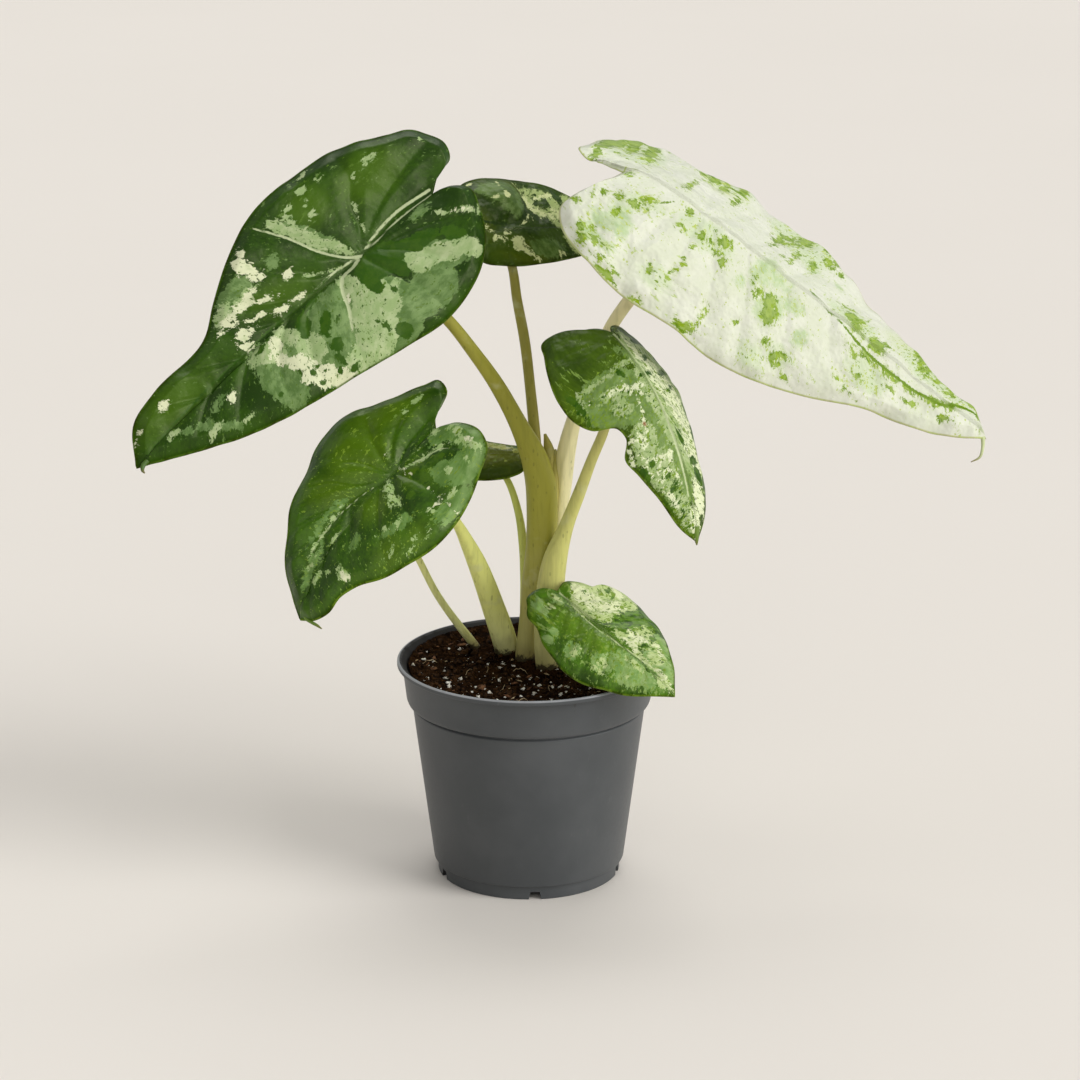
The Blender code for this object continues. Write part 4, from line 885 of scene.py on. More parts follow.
def vein_lines(blade, halves):
    """The veins as polylines in flat blade coordinates, each with its strength."""
    midrib = blade.midrib or [(-blade.sinus, 0), (0, 0), (blade.length, 0)]
    lines = [(smooth_curve(midrib, np.linspace(0, 1, 60)), blade.crease)]
    samples = np.linspace(0, 1, 24)
    if blade.veins:
        return lines + [(smooth_curve(vein, samples), 0.7) for vein in blade.veins]
    t = samples[:, None]
    for half in halves:
        for share in VEIN_ROWS:
            row = share * blade.length
            end = half.margin(np.array([row]))[0]
            start = np.array([row - 2.0, 0.0])
            end = start + (end - start) * 0.95
            bend = (start + (end - start) * 0.5
                    + np.array([0.06, 0.0]) * np.linalg.norm(end - start))
            lines.append((arc(start, bend, end, t), 0.75 - 0.4 * share))
        # The lobe's own rib, and the veins that leave it.
        lobe = half.outline[half.t < np.interp(-0.02, half.place, half.t)] * (1, half.side)
        far = lobe[np.argmin(lobe[:, 0])]
        rib_end = far * 0.82
        rib_bend = np.array([rib_end[0] * 0.45, rib_end[1] * 0.75])
        rib = 2 * t * (1 - t) * rib_bend + t ** 2 * rib_end
        lines.append((rib, 0.8))
        for place, share in LOBE_VEINS:
            start = rib[int(place * 23)]
            end = start + (half.margin(np.array([-share * blade.sinus]))[0] - start) * 0.92
            bend = (start * 0.45 + end * 0.55
                    + np.array([-0.08, 0.0]) * np.linalg.norm(end - start))
            lines.append((arc(start, bend, end, t), 0.6))
    return lines


def nearest_vein(flat, lines):
    """Distance from each point to the line that tells most there, and that line's strength."""
    best = np.full(len(flat), 99.0)
    strength, score = np.zeros(len(flat)), np.full(len(flat), -1.0)
    for line, power in lines:
        a, step = line[:-1], np.diff(line, axis=0)
        size = (step ** 2).sum(axis=1) + 1e-9
        away = flat[:, None, :] - a[None]
        t = np.clip((away * step).sum(axis=2) / size, 0, 1)
        gap = np.linalg.norm(away - t[..., None] * step, axis=2)
        nearest = gap.argmin(axis=1)
        distance = gap[np.arange(len(flat)), nearest]
        fade = 1 - 0.7 * (nearest / len(step))
        pull = power * fade * np.exp(-distance / VALLEY_WIDTH)
        closer = pull > score
        best, score = np.where(closer, distance, best), np.where(closer, pull, score)
        strength = np.where(closer, power * fade, strength)
    return best, strength


def in_patch(flat, u, v, long, wide, turn=0):
    """Each point's place in a patch, in its half length and half width."""
    c, s = math.cos(math.radians(turn)), math.sin(math.radians(turn))
    du, dv = flat[:, 0] - u, flat[:, 1] - v
    return (c * du + s * dv) / long, (c * dv - s * du) / wide


def patch_field(flat, patches):
    """How far inside the nearest patch each point lies, in mm, negative outside."""
    depth = np.full(len(flat), FIELD_FLOOR)
    for patch in patches:
        radius = np.hypot(*in_patch(flat, *patch))
        depth = np.maximum(depth, (1 - radius) * min(patch[2:4]))
    return depth


def line_field(flat, lines):
    """Distance from each point to the edge of the nearest line, which narrows towards its end."""
    best = np.full(len(flat), 3.0)
    for half_width, points in lines:
        line = smooth_curve(points, np.linspace(0, 1, 30))
        gap, left_over = nearest_vein(flat, [(line, 1.0)])
        best = np.minimum(best, gap - half_width * np.minimum(1.0, LINE_TAPER * left_over))
    return best


def dent_field(flat, dents):
    """Rise of the surface from soft local dents and swellings."""
    rise = np.zeros(len(flat))
    for *patch, height in dents:
        along, across = in_patch(flat, *patch)
        rise += height * np.exp(-along ** 2 - across ** 2)
    return rise


def value_noise(points, scale, seed):
    """Smooth noise between -1 and 1 at each 2-D point."""
    return np.array([noise.noise((p[0] * scale, p[1] * scale, seed)) for p in points])


def outline_normals(loop):
    """Outward 2-D normals of a closed outline."""
    step = np.roll(loop, -1, axis=0) - np.roll(loop, 1, axis=0)
    normal = np.column_stack([step[:, 1], -step[:, 0]])
    normal /= np.linalg.norm(normal, axis=1)[:, None] + 1e-9
    area = (loop[:, 0] * np.roll(loop[:, 1], -1) - loop[:, 1] * np.roll(loop[:, 0], -1)).sum()
    return normal * (1 if area > 0 else -1)


def blade_mesh(name, blade, material, detail):
    """A thin blade with sunken veins, a wavy rounded margin and ribs underneath."""
    lobe_share = np.linspace(0, 1, int(LOBE_ROWS * detail), endpoint=False) ** LOBE_SPACING
    front_share = np.linspace(0, 1, int(FRONT_ROWS * detail) + 1) ** FRONT_SPACING
    rows = np.concatenate([-blade.sinus * (1 - lobe_share), front_share * blade.length])[1:-1]
    halves = [Half(blade, blade.left, 1), Half(blade, blade.right, -1)]
    midrib = np.column_stack([rows, np.zeros(len(rows))])
    shares = np.linspace(0, 1, int(BLADE_COLUMNS * detail) + 1) ** COLUMN_SPACING
    left, right = halves[0].margin(rows), halves[1].margin(rows)
    columns = [midrib + (left - midrib) * share for share in shares[::-1]]
    columns += [midrib + (right - midrib) * share for share in shares[1:]]
    grid = np.stack(columns, axis=1)
    count_rows, count_columns = grid.shape[:2]
    flat = np.vstack([grid.reshape(-1, 2), [(-blade.sinus, 0.0), (blade.length, 0.0)]])
    row_of = np.append(np.repeat(rows, count_columns), [-blade.sinus, blade.length])
    # How far each point lies from the midrib along its row, positive on the left.
    signed = np.concatenate([shares[::-1], -shares[1:]])
    left_reach = np.linalg.norm(left - midrib, axis=1)[:, None]
    right_reach = np.linalg.norm(right - midrib, axis=1)[:, None]
    reach = left_reach * np.maximum(signed, 0) + right_reach * np.minimum(signed, 0)
    across = np.append(reach.ravel(), [0, 0])
    width = np.append(np.where(signed > 0, left_reach, right_reach).ravel(), [0, 0])
    edge = np.clip(width - np.abs(across), 0, 30)
    to_tip = np.hypot(flat[:, 0] - blade.length, flat[:, 1])
    edge = np.minimum(edge, np.clip(to_tip, 0, 30))
    side = np.where(across >= 0, 1.0, -1.0)

    gap, power = nearest_vein(flat, vein_lines(blade, halves))
    calm = np.clip(edge / 3, 0, 1)
    groove = np.exp(-(gap / GROOVE_WIDTH) ** 2) * power
    valley = np.exp(-(np.hypot(gap, CREASE) - CREASE) / VALLEY_WIDTH) * power
    height = blade.depth * (1 - np.clip(0.15 * groove + valley, 0, 1)) * calm
    waves = value_noise(flat, 0.075, blade.seed * 7.3)
    ripples = value_noise(flat, 0.19, blade.seed * 3.1 + 50)
    near_edge = np.exp(-edge / MARGIN_FADE)
    height += blade.wave * (1.6 * waves * near_edge + 0.5 * ripples * (0.5 + near_edge))
    unevenness = value_noise(flat, 0.5, blade.seed + 90)
    height += 0.05 * unevenness * calm + dent_field(flat, blade.dents)

    middle = bend_blade(blade, flat[:, 0], flat[:, 1])
    du = bend_blade(blade, flat[:, 0] + PROBE, flat[:, 1]) - middle
    dv = bend_blade(blade, flat[:, 0], flat[:, 1] + PROBE) - middle
    normal = np.cross(du, dv)
    normal /= np.linalg.norm(normal, axis=1)[:, None]
    middle = middle + normal * height[:, None]
    taper = np.clip(1 - flat[:, 0] / blade.length, 0.15, 1)
    spine = np.exp(-np.abs(flat[:, 1]) ** 2) * taper * (flat[:, 0] > -0.6 * blade.sinus)
    rib = (0.9 * spine + 0.25 * groove) * np.clip(edge / 1.5, 0, 1)
    thick = THICKNESS * (0.6 + 0.4 * np.clip(edge / 1.2, 0, 1))
    top = middle + normal * (thick / 2)[:, None]
    under = middle - normal * (thick / 2 + rib)[:, None]

    count = len(flat)
    base, tip = count - 2, count - 1
    last = (count_rows - 1) * count_columns
    loop_index = [base] + [row * count_columns for row in range(count_rows)] + [tip]
    loop_index += [(row + 1) * count_columns - 1 for row in reversed(range(count_rows))]
    loop = flat[loop_index]
    rim_flat = loop + outline_normals(loop) * THICKNESS * RIM_OVERHANG
    rim = bend_blade(blade, rim_flat[:, 0], rim_flat[:, 1])
    rim = rim + (normal * height[:, None])[loop_index]
    points = np.vstack([top, under, rim])

    corner = (np.arange(count_rows - 1)[:, None] * count_columns
              + np.arange(count_columns - 1)[None]).ravel()
    quads = [corner, corner + 1, corner + count_columns + 1, corner + count_columns]
    faces = np.column_stack(quads).tolist()
    faces += [(base, k + 1, k) for k in range(count_columns - 1)]
    faces += [(tip, last + k, last + k + 1) for k in range(count_columns - 1)]
    faces += [tuple(i + count for i in reversed(face)) for face in faces]
    ring = len(loop_index)
    for k, here in enumerate(loop_index):
        n = (k + 1) % ring
        there = loop_index[n]
        faces.append((here, there, 2 * count + n, 2 * count + k))
        faces.append((2 * count + k, 2 * count + n, there + count, here + count))

    def spread(*columns):
        """The same values for the top skin, the underside and the rim."""
        return np.column_stack([np.concatenate([values, values, values[loop_index]])
                                for values in columns])

    offset = side * 40 + blade.seed * 100
    below = np.concatenate([np.zeros(count), np.ones(count), np.full(ring, 0.5)])
    fields = {name: [patch_field(flat, getattr(blade, tone)) for tone in tones]
              for name, tones in (("tones", ("sage", "pale", "cream")),
                                  ("islands", ("green", "glow", "brown")))}
    attributes = {
        "leaf": spread(flat[:, 0], flat[:, 1], offset),
        "grain": spread(row_of, np.abs(across), offset),
        "tones": spread(*fields["tones"]),
        "islands": spread(*fields["islands"]),
        "lines": spread(line_field(flat, blade.pale_and_highlight_lines), line_field(flat, blade.dark_and_shade_lines),
                        edge),
        "underside": np.column_stack([below] * 3),
    }
    return outward(mesh_object(name + "_leaf", points, faces, material, attributes))


def blade_material(name, blade):
    n = Nodes(name + "_skin")
    grain, leaf = n.attribute("grain"), n.attribute("leaf")
    sage_field, pale_field, cream_field = n.kept("tones")
    green_field, glow_field, brown_field = n.kept("islands")
    pale_and_highlight_line, dark_and_shade_line, edge = n.kept("lines")
    below = n.kept("underside")[0]
    streaks = n.scaled(grain, (1.0, 0.75, 1.0))
    coarse = n.clouds(leaf, 0.3, 6.0, 0.7)
    torn = n.clouds(streaks, 0.9, 6.0, 0.78)
    blocks = n.split(n.cells(n.warped(streaks, 0.8, 0.9), 0.8)["Color"])

    def torn_field(field_value, axis, loose=1.0):
        """The field with its edge torn by noise of several sizes."""
        size = blade.ragged * loose
        return n.total(field_value, (n.centred(coarse[axis]), 3.6 * size),
                       (n.centred(torn[axis]), 5.2 * size), (n.centred(blocks[axis]), 0.9 * size))

    broad = n.cloud(leaf, 0.1)
    fine = n.cloud(streaks, 1.3, 4.0, 0.65)
    medium = n.cloud(streaks, 0.4, 5.0, 0.65)
    green = n.mix(n.ramp(n.total(broad, (fine, 0.5)), 0.6, 0.95), blade.dark, blade.bright)
    green = n.mix(n.ramp(n.total(glow_field, (fine, 3.0)), -2.0, 4.5, 0.0, 0.75), green,
                  blade.glow_color)
    sage = n.mix(n.ramp(n.total(medium, (blocks[2], 0.12)), 0.45, 0.68), blade.sage_color,
                 blade.sage_light)
    pale = n.mix(n.ramp(n.total(medium, (blocks[0], 0.12)), 0.45, 0.75), blade.pale_color,
                 blend(blade.pale_color, blade.cream_color, 0.35))
    cream = n.mix(n.ramp(medium, 0.5, 0.75), blade.cream_color,
                  blend(blade.cream_color, blade.pale_color, 0.5))
    island = n.mix(n.ramp(n.total(n.product(blocks[1], 0.4), (fine, 0.7)), 0.4, 0.7),
                   blade.island_dark, blade.island)
    color = green
    for axis, (field_value, soft, tone) in enumerate((
            (sage_field, blade.soft, sage), (pale_field, blade.soft, pale),
            (cream_field, HARD_EDGE, cream))):
        color = n.mix(n.ramp(torn_field(field_value, axis), -soft, soft), color, tone)
    # Small specks of the other tone, thicker near the patches.
    light = n.math("MAXIMUM", n.ramp(pale_field, -1.0, 0.5), n.ramp(cream_field, -1.0, 0.5))
    near = n.math("MAXIMUM", n.ramp(sage_field, -4.0, 2.0), n.ramp(pale_field, -4.0, 2.0))
    sprinkle = n.clouds(streaks, 1.0, 4.0, 0.7)
    level = blade.speck_level
    dots = n.total(sprinkle[0], (near, 0.04 * blade.specks), (glow_field, 0.006 * blade.specks))
    color = n.mix(n.ramp(dots, level, level + 0.02), color, n.mix(light, blade.speck, island))
    second = n.total(sprinkle[1], (near, 0.03 * blade.specks))
    color = n.mix(n.ramp(second, level + 0.02, level + 0.04), color,
                  n.mix(light, blend(blade.speck, blade.sage_light, 0.5), blade.speck))
    stain = torn_field(green_field, 0, blade.island_ragged)
    if blade.halo:
        # Stains on a white leaf: a faint wash round them, darker at the edge than inside.
        border = n.ramp(n.math("ADD", stain, blade.halo), -0.3, 0.3, 0.0, 0.4)
        color = n.mix(border, color, blend(blade.speck, blade.pale_color, 0.5))
        inside = n.ramp(n.total(stain, (n.centred(sprinkle[2]), 6.0)), 0.3, 0.9, 0.0, 0.55)
        island = n.mix(inside, island, blend(blade.island, blade.pale_color, 0.3))
        # And small rings in clusters.
        rings = n.cells(n.warped(leaf, 1.1, 0.5), 0.95)
        cluster = n.total(n.split(rings["Color"])[0], (n.cloud(leaf, 0.16, 2.0), 2.2))
        ring = n.product(n.ramp(rings["Distance"], 0.24, 0.32, 0.9, 0.0),
                         n.ramp(cluster, 2.1, 2.14))
        color = n.mix(ring, color, n.mix(n.ramp(rings["Distance"], 0.1, 0.2),
                                         blend(blade.speck, blade.pale_color, 0.3), blade.speck))
    color = n.mix(n.ramp(stain, -HARD_EDGE, HARD_EDGE), color, island)
    color = n.mix(n.ramp(brown_field, -0.2, 0.3, 0.0, 0.8), color, DRY_SPOT)
    # Pale and dark lines along the veins; some are painted light and shade: a highlight along a lobe's
    # rim, and shade in creases and along folds.
    pale_and_highlight_line = n.total(pale_and_highlight_line, (n.centred(fine), 0.5))
    color = n.mix(n.ramp(pale_and_highlight_line, -0.12, 0.12, 0.9, 0.0), color,
                  blend(blade.pale_color, blade.cream_color, 0.55))
    dark_and_shade_line = n.total(dark_and_shade_line, (n.centred(torn[1]), 1.6))
    color = n.mix(n.ramp(dark_and_shade_line, -0.1, 0.1, 1.0, 0.0), color, blade.island_dark)
    # Painted shade: the margin is darkened where it isn't light, as the shadow of its rolled edge, and
    # its very edge is painted dark in places and greener in others, as painted shade and painted light
    # on the edge.
    margin = n.ramp(n.total(edge, (n.centred(coarse[2]), 1.6)), 0.3, 1.8, blade.margin_shade, 0.0)
    color = n.mix(n.product(margin, n.total(1.0, (light, -0.8))), color, blade.rim)
    border = n.mix(n.ramp(coarse[1], 0.42, 0.56), blade.rim, blend(blade.rim, blade.speck, 0.75))
    color = n.mix(n.ramp(edge, 0.1, 0.5, 0.8, 0.0), color, border)
    back = n.mix(0.4, color, blend(blade.sage_light, blade.pale_color, 0.5))
    network = n.cells(n.warped(leaf, 0.9, 0.8), 0.5, "DISTANCE_TO_EDGE")["Distance"]
    ridges = n.bump(n.ramp(network, 0.0, 0.25), 0.00003, 0.2)
    puckers = n.bump(n.cloud(leaf, 0.22, 2.0), 0.0022, blade.pucker, ridges)
    n.plug(n.shader.inputs["Specular Tint"], (0.95, 1.0, 0.6))
    return n.skin(n.mix(below, color, back),
                  n.total(0.28, (fine, 0.12), (light, 0.06), (below, 0.2)),
                  n.bump(n.cloud(leaf, 1.2, 4.0), 0.00009, 0.4, puckers),
                  n.ramp(edge, 0.1, 1.4, 0.02, blade.shine))


def tip_material(name, blade):
    n = Nodes(name + "_tip_skin")
    share = n.kept("stem")[0]
    cloud = n.cloud(n.place(), 900.0)
    color = n.mix(n.ramp(n.total(share, (cloud, 0.3)), 0.7, 1.3),
                  blend(blade.bright, blade.speck, 0.6), DRY_TIP)
    return n.skin(color, n.total(0.35, (cloud, 0.2)), n.bump(cloud, 0.0001, 0.5))


def build_blades():
    for name, blade in BLADES.items():
        detail = next((share for limit, share in (SMALL, MIDDLING) if blade.length < limit), 1.0)
        stand_for(blade_mesh(name, blade, blade_material(name, blade), detail), name)
        if blade.tip:
            tip = np.array(blade.tip, float)
            path = np.column_stack([bend_blade(blade, tip[:, 0], tip[:, 1]), tip[:, 2]])
            spur = stem_mesh(name.replace("blade", "drip_tip"), path.tolist(),
                             tip_material(name, blade), TIP_RINGS, TIP_SIDES)
            stand_for(spur, None)


def sheath_lift(sheath, share, angle):
    """How far a sheath stands off its stem: most at its free edge, less round the stem."""
    start, end, turn, sweep, lift = sheath
    inside = (share - start) / (end - start)
    if not 0 <= inside <= 1:
        return 0.0
    lag = (angle - math.radians(turn + sweep * inside)) % (2 * math.pi)
    return lift * min(1.0, 4 * (1 - inside), 8 * inside) * max(0.0, 1 - lag / SHEATH_FADE)


def stem_mesh(name, path, material, rings=STEM_RINGS, sides=STEM_SIDES):
    """A petiole along (x, y, z, radius) points, with an uneven section and a sheath's edge."""
    line = smooth_curve(path, np.linspace(0, 1, rings))
    tangent = np.gradient(line[:, :3], axis=0)
    tangent /= np.linalg.norm(tangent, axis=1)[:, None]
    side = np.array([1.0, 0.0, 0.0])
    points, marks = [], []
    seed = float(sum(map(ord, name)) % 97)
    run = run_length(line[:, :3])
    for k, (middle, direction) in enumerate(zip(line, tangent)):
        side = side - direction * np.dot(side, direction)
        side /= np.linalg.norm(side)
        other = np.cross(direction, side)
        share = k / (rings - 1)
        for angle in circle(sides):
            around = noise.noise((math.cos(angle) * 1.3 + seed, math.sin(angle) * 1.3,
                                  run[k] * 0.05))
            radius = middle[3] * (1 + 0.05 * around)
            if name in SHEATH_EDGES:
                radius += sheath_lift(SHEATH_EDGES[name], share, angle)
            away = math.cos(angle) * side + math.sin(angle) * other
            points.append(middle[:3] + radius * away)
            marks.append((share, angle * 2.2, run[k] * 0.1))
    return mesh_object(name + "_stem", points, capped_tube_faces(0, rings, sides), material,
                       {"stem": marks})


def stem_material(name):
    base, middle, top = STEM_COLORS[name]
    n = Nodes(name + "_skin")
    share = n.kept("stem")[0]
    place = n.place()
    height = n.split(place)[2]
    stripes = n.cloud(n.scaled(place, (900.0, 900.0, 60.0)), 1.0)
    cloud = n.cloud(place, 160.0, 4.0)
    along = n.total(share, (cloud, 0.15))
    color = n.mix(n.ramp(along, 0.12, 0.45), base, middle)
    color = n.mix(n.ramp(along, 0.55, 1.05), color, top)
    color = n.mix(n.ramp(stripes, 0.45, 0.7, 0.0, 0.5), color, n.mix(0.35, color, STEM_SHADE))
    spots = n.cells(n.scaled(place, (1.0, 1.0, 0.45)), 900.0)
    dot = n.product(n.ramp(spots["Distance"], 0.16, 0.3, 1.0, 0.0),
                    n.ramp(n.split(spots["Color"])[0], 0.8, 0.84))
    color = n.mix(n.product(dot, 0.35), color, STEM_SPOT)
    color = n.mix(n.product(n.ramp(cloud, 0.56, 0.75), 0.35), color, STEM_PALE)
    # Damp brown above the soil, and at the foot clinging soil together with painted shade, darkest
    # where the stem meets the soil.
    damp = n.total(height, (cloud, 0.008))
    color = n.mix(n.ramp(damp, 0.0598, 0.068, 0.5, 0.0), color, STEM_DAMP)
    dirt_and_shade = n.total(height, (n.cloud(place, 700.0, 4.0, 0.7), 0.006))
    color = n.mix(n.ramp(dirt_and_shade, 0.0604, 0.0618, 0.92, 0.0), color, STEM_DIRT_AND_SHADE)
    relief = n.total(n.product(stripes, 0.6), (cloud, 0.5))
    return n.skin(color, n.total(0.4, (cloud, 0.2)), n.bump(relief, 0.00012, 0.6), 0.25)


def build_petioles():
    for name, path in PETIOLES.items():
        blade = BLADES[name.replace("petiole", "blade")]
        normal = blade_axes(blade)[2]
        radius = path[-1][3] * STEM_TOP_SHARE
        top = [(*(np.array(blade.junction) - normal * depth), radius) for depth in STEM_TOP_DEPTHS]
        stand_for(stem_mesh(name, path + top, stem_material(name)), name)
    material = stem_material("young_sheath")
    sheath = stem_mesh("young_sheath", SHEATH_LOOK, material, 40, 20)
    stand_for(sheath, "young_sheath")
    stand_for(stem_mesh("sheath_flap", SHEATH_FLAP, material, 30, 16), None)


def turned(name, profile, material, segments):
    """A solid turned about Z from (radius, z) points that start and end on the axis."""
    angles = circle(segments)
    points = [(0, 0, profile[0][1])]
    for radius, z in profile[1:-1]:
        points += [(radius * math.cos(a), radius * math.sin(a), z) for a in angles]
    points.append((0, 0, profile[-1][1]))
    last, rings = len(points) - 1, len(profile) - 2
    faces = []
    for k in range(segments):
        n = (k + 1) % segments
        faces.append((0, 1 + n, 1 + k))
        for ring in range(rings - 1):
            low, high = 1 + ring * segments, 1 + (ring + 1) * segments
            faces.append((low + k, low + n, high + n, high + k))
        faces.append((last, last - segments + k, last - segments + n))
    return mesh_object(name, points, faces, material)


def rounded(corners, size, steps):
    """A profile with each inner corner rounded off by about the given size."""
    corners = [np.array(c, float) for c in corners]
    out = [corners[0]]
    for before, corner, after in zip(corners, corners[1:], corners[2:]):
        back, ahead = before - corner, after - corner
        reach = min(size, 0.45 * np.linalg.norm(back), 0.45 * np.linalg.norm(ahead))
        a = corner + back / np.linalg.norm(back) * reach
        b = corner + ahead / np.linalg.norm(ahead) * reach
        out += [arc(a, corner, b, t) for t in np.linspace(0, 1, steps)]
    return out + [corners[-1]]


def inner_radius(z):
    ledge = POT_HEIGHT - COLLAR_DEPTH
    if z <= ledge - WALL:
        low, high = BODY_BOTTOM_RADIUS, BODY_TOP_RADIUS
        return low + (high - low) * (z - FOOT_HEIGHT) / (ledge - FOOT_HEIGHT) - WALL
    low, high = COLLAR_BOTTOM_RADIUS, COLLAR_TOP_RADIUS
    return low + (high - low) * (z - ledge) / COLLAR_DEPTH - WALL


def pot_material():
    n = Nodes("pot_plastic_skin")
    place = n.place()
    cloud = n.cloud(place, 45.0, 4.0)
    fine = n.cloud(place, 900.0, 2.0)
    x, y, height = n.split(place)
    color = n.mix(n.ramp(cloud, 0.3, 0.75), *POT_TONES)
    # Rubbed spots and a little dried water near the rim.
    rub = n.cloud(n.scaled(place, (1.0, 1.0, 0.35)), 260.0, 5.0, 0.7)
    color = n.mix(n.ramp(rub, 0.62, 0.78, 0.0, 0.22), color, POT_RUBBED)
    scuff = n.product(n.ramp(rub, 0.3, 0.36, 1.0, 0.0), n.ramp(height, 0.053, 0.058))
    color = n.mix(n.product(scuff, 0.7), color, POT_SCUFFED)
    # Painted highlight: the rim's top edge is painted lighter, where the light catches it.
    rim_highlight = n.product(n.ramp(height, 0.0588, 0.059), n.ramp(cloud, 0.3, 0.6, 0.5, 0.95))
    color = n.mix(rim_highlight, color, POT_RIM_HIGHLIGHT)
    # Painted shade: inside, the wall is painted darker, as the shadow within the pot.
    normal = n.split(n.place("Normal"))
    facing = n.total(n.product(x, normal[0]), (y, normal[1]))
    inside = n.product(n.ramp(facing, -0.009, -0.003, 1.0, 0.0),
                       n.ramp(height, 0.0592, 0.0594, 1.0, 0.6))
    color = n.mix(n.product(inside, n.ramp(rub, 0.3, 0.6, 1.0, 0.85)), color, POT_INNER_SHADE)
    return n.skin(color, n.total(0.33, (fine, 0.1), (cloud, 0.12), (inside, 0.3)),
                  n.bump(n.total(n.product(fine, 0.5), (cloud, 1.2)), 0.00005, 0.6), 0.32)


def pot_section():
    """The pot's profile, from the middle of the base round its outside to the middle inside."""
    ledge, lip = POT_HEIGHT - COLLAR_DEPTH, POT_HEIGHT - LIP_DEPTH
    inner_foot, groove = FOOT_RADIUS - FOOT_WIDTH, BODY_TOP_RADIUS - GROOVE_DEPTH
    return [(0, FOOT_RECESS), (inner_foot, FOOT_RECESS), (inner_foot, 0), (FOOT_RADIUS, 0),
            (FOOT_RADIUS, FOOT_HEIGHT), (BODY_BOTTOM_RADIUS, FOOT_HEIGHT + 0.1),
            (BODY_TOP_RADIUS, ledge - GROOVE_BOTTOM - GROOVE_SLOPE),
            (groove, ledge - GROOVE_BOTTOM), (groove, ledge - GROOVE_TOP),
            (COLLAR_BOTTOM_RADIUS, ledge), (COLLAR_BOTTOM_RADIUS + 0.35, ledge + 0.9),
            (COLLAR_TOP_RADIUS, lip - 0.1), (RIM_RADIUS, lip), (RIM_RADIUS, POT_HEIGHT - 0.35),
            (RIM_RADIUS - 0.3, POT_HEIGHT), (RIM_RADIUS - 0.85, POT_HEIGHT - 0.05),
            (inner_radius(lip), lip - 0.3), (inner_radius(ledge), ledge),
            (inner_radius(ledge - WALL), ledge - WALL),
            (inner_radius(FLOOR_TOP), FLOOR_TOP), (0, FLOOR_TOP)]


def cut_notch(pot, angle, material):
    radial = np.array([math.cos(angle), math.sin(angle), 0])
    across = np.array([-math.sin(angle), math.cos(angle), 0])
    points = []
    for distance in (FOOT_RADIUS - FOOT_WIDTH - NOTCH_INSIDE, FOOT_RADIUS + NOTCH_OUTSIDE):
        for width, z in ((-NOTCH_BOTTOM_WIDTH, -NOTCH_BELOW), (NOTCH_BOTTOM_WIDTH, -NOTCH_BELOW),
                         (NOTCH_TOP_WIDTH, NOTCH_HEIGHT), (-NOTCH_TOP_WIDTH, NOTCH_HEIGHT)):
            points.append(radial * distance + across * width / 2 + np.array([0, 0, z]))
    faces = [(0, 1, 2, 3), (7, 6, 5, 4), (0, 4, 5, 1), (1, 5, 6, 2), (2, 6, 7, 3), (3, 7, 4, 0)]
    cutter = outward(mesh_object("notch_cutter", points, faces, material))
    modifier = pot.modifiers.new("notch", "BOOLEAN")
    modifier.operation, modifier.solver, modifier.object = "DIFFERENCE", "EXACT", cutter
    apply_modifiers(pot)
    bpy.data.objects.remove(cutter, do_unlink=True)


def build_pot():
    material = pot_material()
    section = rounded(pot_section(), CORNER_SIZE, CORNER_STEPS)
    pot = outward(turned("pot_shell", section, material, POT_SEGMENTS))
    for index in range(NOTCH_COUNT):
        cut_notch(pot, math.radians(NOTCH_FIRST_ANGLE + index * 360 / NOTCH_COUNT), material)
    pot.data.shade_smooth()
    pot.data.set_sharp_from_angle(angle=math.radians(SHARP_ANGLE))
    stand_for(pot, "pot")


def apply_modifiers(obj):
    graph = bpy.context.evaluated_depsgraph_get()
    mesh = bpy.data.meshes.new_from_object(obj.evaluated_get(graph))
    obj.modifiers.clear()
    old, obj.data = obj.data, mesh
    bpy.data.meshes.remove(old)


STEM_FEET = [path[1] for path in PETIOLES.values() if path[1][2] < FOOT_LIMIT]


def soil_height(x, y):
    """Height of the soil's surface above the foot, in mm: dished, and heaped round the stems."""
    lumps = noise.fractal(Vector((x * 0.35, y * 0.35, 3.0)), 1.0, 2.2, 4)
    crumbs = noise.fractal(Vector((x * 1.3, y * 1.3, 5.0)), 0.9, 2.3, 3)
    broad = noise.noise(Vector((x * 0.09, y * 0.09, 8.0)))
    edge = max(0.0, (math.hypot(x, y) - EDGE_START) / 10)
    gaps = [max(0.0, math.hypot(x - foot[0], y - foot[1]) - foot[3]) for foot in STEM_FEET]
    heap = sum(math.exp(-(gap / HEAP_WIDTH) ** 2) for gap in gaps)
    rise = (1.5 + 0.75 * (y - 0.8 * x) / SOIL_RADIUS) * min(edge, 1.2) ** 2
    height = (SOIL_TOP + 0.6 * lumps + 0.4 * crumbs + 0.5 * broad + rise
              + HEAP_HEIGHT * min(heap, HEAP_LIMIT))
    return min(height, POT_HEIGHT - SOIL_CLEARANCE)


def soil_material():
    n = Nodes("soil_skin")
    place = n.place()
    coarse = n.cloud(place, 260.0, 5.0, 0.65)
    fine = n.cloud(place, 1500.0)
    color = n.mix(n.ramp(coarse, 0.35, 0.7), *SOIL_TONES)
    color = n.mix(n.ramp(fine, 0.58, 0.7, 0.0, 0.6), color, SOIL_FLECK)
    return n.skin(color, n.total(0.75, (coarse, 0.25)),
                  n.bump(n.total(coarse, (fine, 0.9)), 0.0008, 1.0), 0.03)


def grain_material(name, dark, light, roughness):
    n = Nodes(name)
    cloud = n.cloud(n.place(), 700.0, 4.0, 0.65)
    return n.skin(n.mix(n.ramp(cloud, 0.35, 0.65), dark, light),
                  n.total(roughness, (cloud, 0.15)), n.bump(cloud, 0.0003, 0.8), 0.1)


